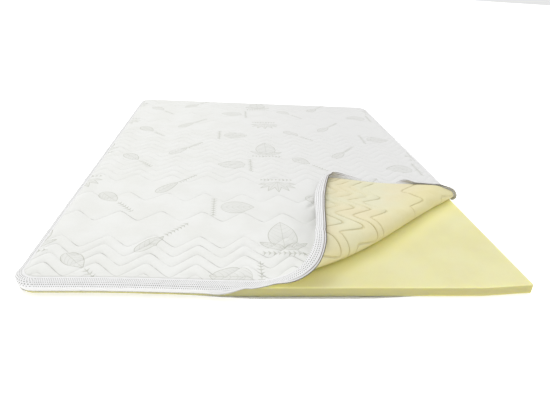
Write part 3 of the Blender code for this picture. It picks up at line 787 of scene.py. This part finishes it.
def make_lid():
    form = flat_lid()
    second_face(form)
    walls = [edge for edge in form.edges if abs(edge.verts[0].co.z - edge.verts[1].co.z) > 0.5]
    bmesh.ops.subdivide_edges(form, edges=walls, cuts=2, use_grid_fill=True)
    bmesh.ops.recalc_face_normals(form, faces=form.faces[:])
    flat = flat_places(form)
    across, back, depth = flat[:, 0], flat[:, 1], -flat[:, 2]
    from_stitch = fold_lid(form, across, back, depth)

    uv = form.loops.layers.uv.new("flat")
    layer = form.verts.layers.float.new("from_stitch")
    for vertex, distance in zip(form.verts, from_stitch):
        vertex[layer] = distance
    form.verts.index_update()
    for face in form.faces:
        face.material_index = 1 if all(depth[v.index] > 0.5 for v in face.verts) else 0
        for loop in face.loops:
            loop[uv].uv = (across[loop.vert.index], back[loop.vert.index])
    bmesh.ops.triangulate(form, faces=[face for face in form.faces if len(face.verts) > 4])
    made = add_piece("quilted_lid", form, [white_knit(), cream_lining()])
    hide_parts("cover_lid")
    return made


lid = make_lid()

# %% [markdown]
# ## The border
# A strip of knitted mesh is sewn to the lid's edge and carries the zip's upper half. It hangs, curls and
# flares as it goes round, so a table gives its angle at the seam and at the zip. The strip is a long
# grid whose two ends are welded, with a thicker roll at the seam where its raw edge is turned in.

# %% The border's way round the lid
# place: along the seam from the front right corner, positive towards the back
# start, end: angles at the seam and at the zip, from hanging straight down (0), outwards (+)
# bend, spread: where across its width it turns, and over how much of it
BORDER_COLUMNS = ("place", "start", "end", "width", "bend", "spread")
BORDER_TABLE = (
    (-1.38, 94, 0, 0.0500, 0.68, 0.40),
    (-0.92, 94, 0, 0.0500, 0.68, 0.40),
    (-0.82, 92, 112, 0.0460, 0.60, 0.40),
    (-0.74, 76, 79, 0.0460, 0.50, 0.60),
    (-0.67, 50, -16, 0.0480, 0.50, 0.60),
    (-0.62, 36, -84, 0.0590, 0.50, 0.60),
    (-0.56, 24, -96, 0.0550, 0.50, 0.60),
    (-0.46, 20, -97, 0.0480, 0.50, 0.60),
    (-0.38, 16, -97, 0.0505, 0.50, 0.60),
    (-0.30, 12, -97, 0.0590, 0.50, 0.60),
    (-0.20, 10, -97, 0.0630, 0.50, 0.60),
    (-0.10, 12, -97, 0.0520, 0.50, 0.60),
    (0.00, 12, -80, 0.0430, 0.50, 0.60),
    (0.04, 14, -10, 0.0250, 0.50, 0.60),
    (0.08, 14, 60, 0.0220, 0.50, 0.60),
    (0.14, 45, 100, 0.0230, 0.50, 0.60),
    (0.20, 80, 130, 0.0240, 0.50, 0.60),
    (0.30, 80, 130, 0.0240, 0.50, 0.60),
    (0.34, 76, 20, 0.0190, 0.50, 0.70),
    (0.38, 42, -80, 0.0210, 0.50, 0.90),
    (0.46, 40, -95, 0.0220, 0.50, 0.90),
    (0.50, 75, -50, 0.0210, 0.50, 0.60),
    (0.56, 88, -10, 0.0180, 0.50, 0.60),
    (0.62, 88, 0, 0.0250, 0.50, 0.60),
    (0.68, 88, 4, 0.0344, 0.50, 0.60),
    (0.78, 85, -55, 0.0440, 0.50, 0.60),
    (3.32, 85, -55, 0.0440, 0.50, 0.60),
    (3.42, 90, -30, 0.0420, 0.50, 0.60),
    (5.29, 90, -30, 0.0420, 0.50, 0.60),
    (5.36, 94, 0, 0.0500, 0.68, 0.40),
)
STATION_STEP = 0.006
BORDER_ROWS = 12
CORNER_STEPS = 16
EASE_STEPS = 6


def seam_table():
    """Distance along the seam from the front right corner, flat place and heading, all the way round."""
    r = SEAM_RADIUS
    quarter = r * math.pi / 2.0
    corners = rounded_corners((SEAM_LEFT, SEAM_FRONT), (SEAM_RIGHT, SEAM_BACK), (r,) * 4)
    rows = [(-(SEAM_RIGHT - SEAM_LEFT - 2.0 * r) - quarter / 2.0, SEAM_LEFT + r, SEAM_FRONT, 0.0)]
    for k, (x, y, _, _) in enumerate(corners[1:] + corners[:1]):
        for step in range(CORNER_STEPS + 1):
            heading = math.radians(90.0 * (k + step / CORNER_STEPS))
            here = (x + r * math.sin(heading), y - r * math.cos(heading))
            place = rows[-1][0] + math.hypot(here[0] - rows[-1][1], here[1] - rows[-1][2])
            rows.append((place, *here, heading))
    return np.array(rows)


def strip_stations():
    table = seam_table()
    count = round((table[-1, 0] - table[0, 0]) / STATION_STEP)
    place = np.linspace(table[0, 0], table[-1, 0], count + 1)
    return place, *(np.interp(place, table[:, 0], table[:, k]) for k in (1, 2, 3))


PLACE, ACROSS, BACK, HEADING = strip_stations()


def eased(values):
    """Round off the corners that straight steps between table rows leave."""
    for _ in range(EASE_STEPS):
        values = (np.roll(values[:-1], 1) + values[:-1] * 2.0 + np.roll(values[:-1], -1)) / 4.0
        values = np.append(values, values[0])
    return values


def strip_rows(segments):
    """Rows of points from the seam to the zip, the way across the strip at each, and the settings."""
    slope_across, slope_back, facing = lid_slopes(ACROSS, BACK)
    ahead = unit(slope_across * np.cos(HEADING)[:, None] + slope_back * np.sin(HEADING)[:, None])
    outward = unit(np.cross(ahead, facing))
    table = np.array(BORDER_TABLE)
    settings = {name: np.interp(PLACE, table[:, 0], table[:, k]) for k, name in enumerate(BORDER_COLUMNS)}
    settings = {name: eased(values) for name, values in settings.items()}
    start, end = np.radians(settings["start"]), np.radians(settings["end"])
    clear = SEAM_GAP + BORDER_THICK / 2.0 * np.cos(start)
    here = fold(ACROSS, BACK) - facing * LID_THICK / 2.0 + outward * clear[:, None]
    width = settings["width"] - TAPE_WIDTH
    rows, ways = [here], []
    for k in range(segments):
        share = (k + 0.5) / segments
        angle = start + (end - start) * soft_step((share - settings["bend"]) / settings["spread"] + 0.5)
        way = outward * np.sin(angle)[:, None] - facing * np.cos(angle)[:, None]
        here = here + way * (width / segments)[:, None]
        rows.append(here)
        ways.append(way)
    middles = [ways[0]] + [unit(a + b) for a, b in zip(ways, ways[1:])] + [ways[-1]]
    return np.array(rows), np.array(middles), width


def ring_ahead(points):
    closed = points[:-1]
    way = unit(np.roll(closed, -1, axis=0) - np.roll(closed, 1, axis=0))
    return np.concatenate([way, way[:1]])


def welded_strip(name, sections, depths, finish):
    """A closed ring: sections[i, j] is point j of station i's section, the last point being the first."""
    stations, points = sections.shape[:2]
    form = bmesh.new()
    bmesh.ops.create_grid(form, x_segments=stations - 1, y_segments=points - 1, size=0.5)
    form.verts.index_update()
    uv = form.loops.layers.uv.new("strip")
    for face in form.faces:
        for loop in face.loops:
            j, i = divmod(loop.vert.index, stations)
            loop[uv].uv = (STATION_STEP * i, depths[j])
    move_all(form, sections.transpose(1, 0, 2).reshape(-1, 3))
    bmesh.ops.remove_doubles(form, verts=form.verts[:], dist=1e-6)
    bmesh.ops.recalc_face_normals(form, faces=form.faces[:])
    return add_piece(name, form, [finish])


print("the seam is", round(float(PLACE[-1] - PLACE[0]), 3), "m round, with", len(PLACE), "stations")

# %% [markdown]
# ## Mesh, tape and coil finishes
# The border is a thick knitted mesh with rows of small holes, the tape is a tight weave, and the coil is
# a smooth plastic thread bent into turns. The mesh's holes are lower, and painted dark as painted shade
# seen through them. A row of stitches runs along each of its edges.

# %% Mesh, tape and coil
MESH_PITCH, STITCH_PITCH = 0.0054, 0.0042
STRIP_WIDTH = 0.042
DARK_FROM, DARK_TO = (0.62, 0.74), (2.02, 1.94)      # the turned-back part, along the strip
# The upper tape's dark seam line is partly thread and partly painted shade where the tape meets the border.
# The lower one is pale.
UPPER_THREAD_AND_SHADE, LOWER_THREAD = (0.22, 0.17, 0.15), (0.80, 0.80, 0.78)
COIL_PAINTED_PALE, COIL_PAINTED_PALER, COIL_DARK = (0.50, 0.49, 0.44), (0.66, 0.65, 0.60), (0.11, 0.085, 0.06)
TAPE_COLOURS = (0.90, 0.90, 0.89), (0.72, 0.71, 0.68)
# Below this height the coil is painted paler, as painted light over the shade near the floor.
LIFTED = (0.030, 0.055)      # the coil's dark side shows from here up
MESH_WHITE, MESH_BRIGHT, HOLE_SHADE = (0.90, 0.90, 0.90), (0.94, 0.94, 0.94), (0.34, 0.34, 0.32)


def stitches(along, aside, where):
    """A row of short stitches at a distance across the strip."""
    length = abs(along.repeated(STITCH_PITCH)).rise(STITCH_PITCH * 0.40, STITCH_PITCH * 0.30)
    return length * abs(aside - where).rise(0.0010, 0.0005)


def border_mesh():
    finish = Finish("border_mesh", 0.9, Sheen_Weight=0.1, Sheen_Roughness=0.5)
    strip = finish.uv("strip")
    u, v, _ = finish.split(strip)
    shifted = u + finish.maths("FLOOR", v / MESH_PITCH) * (MESH_PITCH / 2.0)
    hole_u = shifted.repeated(MESH_PITCH) / MESH_PITCH
    hole_v = finish.maths("FLOORED_MODULO", v, MESH_PITCH) / MESH_PITCH - 0.5
    hole = (hole_u * hole_u + hole_v * hole_v).rise(0.110, 0.040)
    hole = hole * (v.rise(0.0050, 0.0062) * v.rise(STRIP_WIDTH - 0.0040, STRIP_WIDTH - 0.0052))
    sewn = stitches(u, v, 0.0045).at_least(stitches(u, v, STRIP_WIDTH - 0.0026))
    knit = finish.mix(finish.noise(strip, 60.0).rise(0.3, 0.7), MESH_WHITE, MESH_BRIGHT)
    # The holes are painted dark, as painted shade seen through them.
    finish.colour(finish.mix(hole * 0.85, knit, HOLE_SHADE))
    finish.bump(sewn * 0.0006 - hole * 0.0010 + finish.noise(strip, 300.0) * 0.0003, 0.8)
    return finish.material


def zip_tape(name, seam_line_colour):
    """A woven tape with a line beside the cloth that it is sewn to, partly thread and, where its colour is
    dark, partly painted shade.
    """
    finish = Finish(name, 0.8)
    u, v, _ = finish.split(finish.uv("strip"))
    weave = knitted(u, v + u * 0.5, 0.0012, 0.0010)
    plain = finish.mix(weave * 0.25, *TAPE_COLOURS)
    # Over the turned-back part the line beside the seam takes the given colour: on the upper tape, partly
    # thread and partly painted shade.
    sewn = v.rise(0.0010, 0.0014) * v.rise(0.0040, 0.0034) * u.rise(*DARK_FROM) * u.rise(*DARK_TO)
    finish.colour(finish.mix(sewn * 0.85, plain, seam_line_colour))
    finish.bump(weave * 0.00015, 0.7)
    return finish.material


def coil_plastic():
    finish = Finish("coil_plastic", 0.38)
    place = finish.place()
    _, _, height = finish.split(place)
    # Painted light: low down the coil is painted a paler grey, which lifts the shade by the floor. Higher up
    # it keeps its own dark colour.
    painted_pale_low = finish.mix(finish.noise(place, 45.0, 3.0).rise(0.35, 0.65), COIL_PAINTED_PALE, COIL_PAINTED_PALER)
    finish.colour(finish.mix(height.rise(*LIFTED), painted_pale_low, COIL_DARK))
    finish.bump(finish.noise(place, 1500.0, 1.0) * 0.00006, 0.6)
    return finish.material


# %% The mesh border
GATHER = 0.0007              # height of the strip's gathers
LAP = 0.0016                 # the strip is sewn this far over the lid's edge
SEAM_ROLL, SEAM_ROLL_WIDTH = 0.0011, 0.0030
HEM, HEM_WIDTH = 0.0004, 0.004


def strip_sides(rows, ways):
    ahead = np.array([ring_ahead(row) for row in rows])
    return unit(np.cross(ways, ahead))


def make_border():
    rows, ways, width = strip_rows(BORDER_ROWS)
    rows[0] -= ways[0] * LAP
    sides = strip_sides(rows, ways)
    shares = np.arange(BORDER_ROWS + 1) / BORDER_ROWS
    depth = shares * STRIP_WIDTH
    roll = SEAM_ROLL * np.exp(-((depth - 0.001) / SEAM_ROLL_WIDTH) ** 2)
    hem = HEM * np.exp(-((depth - STRIP_WIDTH) / HEM_WIDTH) ** 2)
    half = (BORDER_THICK / 2.0 + roll + hem)[:, None, None]
    lap = 2.0 * math.pi * PLACE / (PLACE[-1] - PLACE[0])
    gathers = np.sin(61.0 * lap) * 0.6 + np.sin(147.0 * lap + 1.3) * 0.4
    rows = rows + sides * (GATHER * np.sin(math.pi * shares)[:, None] * gathers)[:, :, None]
    outer, inner = rows + sides * half, rows - sides * half
    section = np.concatenate([outer, inner[::-1], outer[:1]]).transpose(1, 0, 2)
    depths = np.concatenate([depth, depth[::-1], depth[:1]])
    made = welded_strip("mesh_border", section, depths, border_mesh())
    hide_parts("cover_border")
    print("border", round(float(width.mean()), 4), "m wide on average")
    return made


border = make_border()

# %% [markdown]
# ## The zip
# Each half is a narrow tape with a coil along its free edge. The upper half is sewn to the border and
# goes wherever the border goes. The lower half is sewn round the bottom panel: it lies flat where the
# zip is open, and stands up to meet the other half where it is closed. A turn of the coil is a small
# faceted bead with few faces, because there are thousands of them.

# %% The tapes and their coils
COIL_PITCH = 0.0023
BEAD_SIZES = (0.0018, 0.0040, 0.0030)
TAPE_LAP = 0.0012            # the tape is sewn this far over the border
TAPE_DEPTHS = np.array([0.0, 0.5, 1.0, 1.0, 0.5, 0.0, 0.0]) * TAPE_WIDTH


def tape_sections(base, way, side, width):
    """A thin tape's closed section at each station, and the middle of its free edge."""
    thin = side * (TAPE_THICK / 2.0)
    tip = base + way * (width - 0.0008)
    middle = (base + tip) / 2.0
    outer = [base + thin, middle + thin, tip + thin * 0.7]
    inner = [tip - thin * 0.7, middle - thin, base - thin]
    return np.array(outer + inner + outer[:1]).transpose(1, 0, 2), tip


def coil(name, tips, ways, sides, finish):
    """Beads along a closed line of points, each turned with the tape."""
    steps = np.linalg.norm(np.diff(tips, axis=0), axis=1)
    run = np.concatenate([[0.0], np.cumsum(steps)])
    count = int(run[-1] / COIL_PITCH)
    marks = (np.arange(count) + 0.5) * run[-1] / count
    centre, way, side = (np.stack([np.interp(marks, run, data[:, k]) for k in range(3)], axis=-1)
                         for data in (tips, ways, sides))
    way, side = unit(way), unit(side)
    ahead = unit(np.cross(side, way))
    bead = bmesh.new()
    bmesh.ops.create_icosphere(bead, subdivisions=1, radius=0.5)
    bead.verts.index_update()
    shape = np.array([vertex.co[:] for vertex in bead.verts]) * BEAD_SIZES
    faces = np.array([[vertex.index for vertex in face.verts] for face in bead.faces])
    bead.free()
    axes = np.stack([ahead, way, side], axis=1)
    places = np.einsum("vk,nkc->nvc", shape, axes) + centre[:, None, :] + SHIFT
    turns = (faces[None] + len(shape) * np.arange(count)[:, None, None]).reshape(-1, 3)
    mesh = bpy.data.meshes.new(name)
    mesh.from_pydata(places.reshape(-1, 3).tolist(), [], turns.tolist())
    form = bmesh.new()
    form.from_mesh(mesh)
    bmesh.ops.recalc_face_normals(form, faces=form.faces[:])
    bpy.data.meshes.remove(mesh)
    return add_piece(name, form, [finish])


COIL_FINISH = coil_plastic()


def zip_half(name, base, way, ahead, width, seam_line_colour):
    """One tape with its coil."""
    side = unit(np.cross(way, ahead))
    section, tip = tape_sections(base, way, side, width)
    finish = zip_tape(name + "_tape", seam_line_colour)
    tape = welded_strip(name + "_tape", section, TAPE_DEPTHS, finish)
    return tape, coil(name + "_coil", tip, way, side, COIL_FINISH)


def make_upper_zip():
    rows, ways, _ = strip_rows(BORDER_ROWS)
    base = rows[-1] - ways[-1] * TAPE_LAP
    tape, beads = zip_half("upper", base, ways[-1], ring_ahead(base), TAPE_WIDTH + TAPE_LAP, UPPER_THREAD_AND_SHADE)
    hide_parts("zip_upper")
    return tape, beads


upper_tape, upper_coil = make_upper_zip()

# %% [markdown]
# ## The bottom panel and the zip's lower half
# Only a strip of the bottom panel shows, under the foam's front edge, where it wanders and tucks in. It
# is a plain knit with a turned edge.

# %% The bottom panel
BOTTOM_MARGIN, BOTTOM_RADIUS, BOTTOM_FRONT = 0.0075, 0.046, 0.0150
BOTTOM_FORWARD, BOTTOM_TUCK = (0.35, 0.65, 0.0130), (0.88, 1.23, 0.020)
BOTTOM_LOW, BOTTOM_HIGH = (-BOTTOM_MARGIN, 0.0), (FOAM_WIDTH + BOTTOM_MARGIN, FOAM_LENGTH + BOTTOM_MARGIN)
BOTTOM_ROUND = 0.0009
PANEL_COLOURS = (0.74, 0.74, 0.73), (0.81, 0.81, 0.80)
SHARP = 1.2                  # a rim's edge turns by more than this, in radians


def bottom_edge(points):
    """Move the bottom panel's points with its wandering front edge."""
    across, near = points[..., 0], near_front(points)
    points[..., 1] += near * (BOTTOM_FRONT - slide(across, BOTTOM_FORWARD) + slide(across, BOTTOM_TUCK))
    return wander_front(points)


def slab(low, high, radii, cell):
    """A flat grid trimmed to a rounded rectangle and given a second face one unit below the first."""
    form = bmesh.new()
    columns, rows = (np.linspace(a - TRIM, b + TRIM, round((b - a) / cell)) for a, b in zip(low, high))
    bend_grid(form, columns, rows, lambda x, y: (x, y, 0.0))
    cut_outline(form, low, high, radii)
    second_face(form)
    bmesh.ops.recalc_face_normals(form, faces=form.faces[:])
    return form


def round_rims(form, offset, segments):
    """Round the sharp edges all round a slab's two faces."""
    rims = [edge for edge in form.edges if len(edge.link_faces) == 2 and edge.calc_face_angle(0.0) > SHARP]
    bmesh.ops.bevel(form, geom=rims, offset=offset, offset_type="OFFSET", affect="EDGES", segments=segments,
                    profile=0.5, material=-1)


def plain_knit():
    finish = Finish("plain_knit", 0.9)
    place = finish.place()
    x, y, _ = finish.split(place)
    loops = knitted(x, y, 0.0020, 0.0016)
    cloud = finish.noise(place, 14.0, 3.0).rise(0.3, 0.7)
    finish.colour(finish.mix(cloud, *PANEL_COLOURS))
    finish.bump(loops * 0.0002 + finish.noise(place, 70.0, 2.0) * 0.0008, 0.7)
    return finish.material


def make_bottom():
    form = slab(BOTTOM_LOW, BOTTOM_HIGH, (BOTTOM_RADIUS,) * 4, 0.03)
    flat = flat_places(form)
    flat[:, 2] = BOTTOM_THICK * (flat[:, 2] + 1.0)
    move_all(form, bottom_edge(flat))
    round_rims(form, BOTTOM_ROUND, 2)
    made = add_piece("bottom_panel", form, [plain_knit()])
    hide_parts("cover_bottom")
    return made


bottom = make_bottom()

# %% The zip's lower half
OPEN_SIDE, OPEN_FRONT = 0.70, 0.15      # the zip is open this far back on the right, and on the left
LEAN_STEPS = 10
CORNER_POINTS = 12


def lower_stations():
    """Points round the bottom panel's edge, anticlockwise from its front left corner, about 6 mm apart."""
    rows = []
    for x, y, heading, r in rounded_corners(BOTTOM_LOW, BOTTOM_HIGH, (BOTTOM_RADIUS,) * 4):
        for k in range(CORNER_POINTS + 1):
            angle = math.radians(heading + 90.0 * k / CORNER_POINTS)
            rows.append((x + r * math.cos(angle), y + r * math.sin(angle)))
    rows.append(rows[0])
    rows = np.array(rows)
    run = np.concatenate([[0.0], np.cumsum(np.linalg.norm(np.diff(rows, axis=0), axis=1))])
    marks = np.linspace(0.0, run[-1], round(run[-1] / STATION_STEP) + 1)
    x, y = (np.interp(marks, run, rows[:, k]) for k in (0, 1))
    return bottom_edge(np.stack([x, y, 0.0 * marks], axis=-1))


def make_lower_zip():
    edge = lower_stations()
    ahead = ring_ahead(edge)
    outward = np.column_stack([ahead[:, 1], -ahead[:, 0], 0.0 * ahead[:, 0]])
    on_right = edge[:, 0] > FOAM_WIDTH - 0.01
    lean = np.where((edge[:, 1] < OPEN_FRONT) | (on_right & (edge[:, 1] < OPEN_SIDE)), 1.0, 0.0)
    for _ in range(LEAN_STEPS):
        lean = np.minimum(lean, (np.roll(lean, 1) + np.roll(lean, -1) + lean) / 3.0)
    lean[-1] = lean[0]
    angle = lean * math.pi / 2.0
    way = outward * np.sin(angle)[:, None]
    way[:, 2] = np.cos(angle)
    reach = PIECE_GAP + TAPE_THICK / 2.0 * np.cos(angle)
    height = PIECE_GAP + COIL_SIZE / 2.0 * np.sin(angle)
    base = edge + outward * reach[:, None]
    base[:, 2] = height
    tape, beads = zip_half("lower", base, way, ahead, TAPE_WIDTH, LOWER_THREAD)
    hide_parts("zip_lower")
    return tape, beads


lower_tape, lower_coil = make_lower_zip()

# %% [markdown]
# ## The foam
# The slab is cut from a block with a saw, so its faces are flat with a fine open grain, and its long
# edges are barely rounded. The cover presses three of its corners round. The bare one is still sharp.

# %% The foam slab
FOAM_CORNERS = (0.038, 0.004, 0.038, 0.038)      # the front left one first, anticlockwise
FOAM_EDGE = 0.0022
FOAM_SAG = 0.00025
FOAM_DEEP, FOAM_PALE, FOAM_PAINTED_BOUNCE = (0.775, 0.73, 0.385), (0.81, 0.775, 0.44), (0.96, 0.89, 0.37)
FOAM_SIDE_SHADE, FOAM_PORES = (0.53, 0.495, 0.23), (0.60, 0.53, 0.20)


def painted_bounce_near_roll(finish, place):
    """Where the foam is painted a warmer yellow, as painted bounce light in the roll's shade: 1 at the roll,
    0 past it.
    """
    x, y, _ = finish.split(place)
    x, y = x - (float(SHIFT[0]) + FOLD_FRONT), y - (float(SHIFT[1]) + SEAM_FRONT)
    share = measured(x, y, FOLD_LINE) / FOLD_LENGTH
    skew = finish.maths("SINE", share * 2.0 * math.pi)
    bowed = FOLD_BULGE * 4.0 * share * (1.0 - share) + FOLD_SKEW * skew
    return (measured(x, y, FOLD_NORMAL) - bowed).rise(0.120, 0.015)


def open_cell_foam():
    finish = Finish("open_cell_foam", 0.95, Subsurface_Weight=0.8, Subsurface_Radius=(1.0, 0.85, 0.22),
                    Subsurface_Scale=0.030)
    place = finish.place()
    pores = finish.cells(place, 520.0)
    grain = finish.noise(place, 900.0, 2.0)
    cloud = finish.noise(place, 6.0, 3.0)
    body = finish.mix(cloud.rise(0.3, 0.7), FOAM_DEEP, FOAM_PALE)
    _, _, height = finish.split(place)
    top = float(SHIFT[2]) + FOAM_TOP
    # Painted bounce light: a warmer, deeper yellow in the roll's shade.
    body = finish.mix(painted_bounce_near_roll(finish, place) * 0.9, body, FOAM_PAINTED_BOUNCE)
    # Painted shade: the foam's sides, below its top, are painted darker.
    body = finish.mix(height.rise(top - 0.0010, top - 0.0035), body, FOAM_SIDE_SHADE)
    dark = (1.0 - pores.rise(0.10, 0.42)) * grain.rise(0.35, 0.65)
    finish.colour(finish.mix(dark * 0.35, body, FOAM_PORES))
    finish.bump(pores.rise(0.05, 0.45) * 0.0004 + finish.noise(place, 40.0, 3.0) * 0.0008, 0.6)
    return finish.material


def make_foam():
    form = slab((0.0, 0.0), (FOAM_WIDTH, FOAM_LENGTH), FOAM_CORNERS, 0.02)
    flat = flat_places(form)
    top = flat[:, 2] + 1.0
    sag = FOAM_SAG * (1.0 + ripple(flat[:, 0], flat[:, 1], 0.27, 0.9))
    flat[:, 2] = FOAM_BASE + top * (FOAM_THICK - sag)
    move_all(form, wander_front(flat))
    round_rims(form, FOAM_EDGE, 3)
    made = add_piece("foam_slab", form, [open_cell_foam()])
    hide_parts("foam_core")
    return made


foam = make_foam()

# %% [markdown]

# %% [markdown]
# ## Floor and light
# The photograph was taken on white under soft light from above, so the shadows are faint. A pale floor
# that glows a little, a bright sky and one wide, soft sun from behind on the left give that.

# %% Floor and lights
FLOOR_SIZE, FLOOR_DROP, FLOOR_GLOW = 80.0, 0.0005, 0.50
SKY_STRENGTH = 0.80
SUN_TOWARDS, SUN_STRENGTH, SUN_DEGREES = (-0.42, 0.56, 1.05), 0.85, 34.0


def make_floor():
    form = bmesh.new()
    bmesh.ops.create_grid(form, x_segments=1, y_segments=1, size=FLOOR_SIZE)
    mesh = bpy.data.meshes.new("floor")
    form.to_mesh(mesh)
    form.free()
    finish = Finish("floor_paint", 0.9, Base_Color=(0.90, 0.90, 0.90), Emission_Color=(1.0, 1.0, 1.0),
                    Emission_Strength=FLOOR_GLOW)
    mesh.materials.append(finish.material)
    made = add_object("floor", mesh)
    made.location = (0.0, 0.0, -FLOOR_DROP)


def add_sun():
    """Even light over the whole floor from one direction. A wider sun, in degrees, gives softer shadows."""
    lamp = bpy.data.lights.new("high_window", "SUN")
    lamp.energy = SUN_STRENGTH
    lamp.angle = math.radians(SUN_DEGREES)
    add_object("high_window", lamp).rotation_euler = Vector(SUN_TOWARDS).to_track_quat("Z", "Y").to_euler()


def light_scene():
    scene = bpy.context.scene
    world = bpy.data.worlds.new("soft_sky")
    world.use_nodes = True
    sky = world.node_tree.nodes["Background"].inputs
    sky["Color"].default_value = (1.0, 1.0, 1.0, 1.0)
    sky["Strength"].default_value = SKY_STRENGTH
    scene.world = world
    scene.view_settings.view_transform = "Standard"
    scene.view_settings.look = "None"


make_floor()
light_scene()
add_sun()

# %% A last update of the scene
bpy.context.view_layer.update()
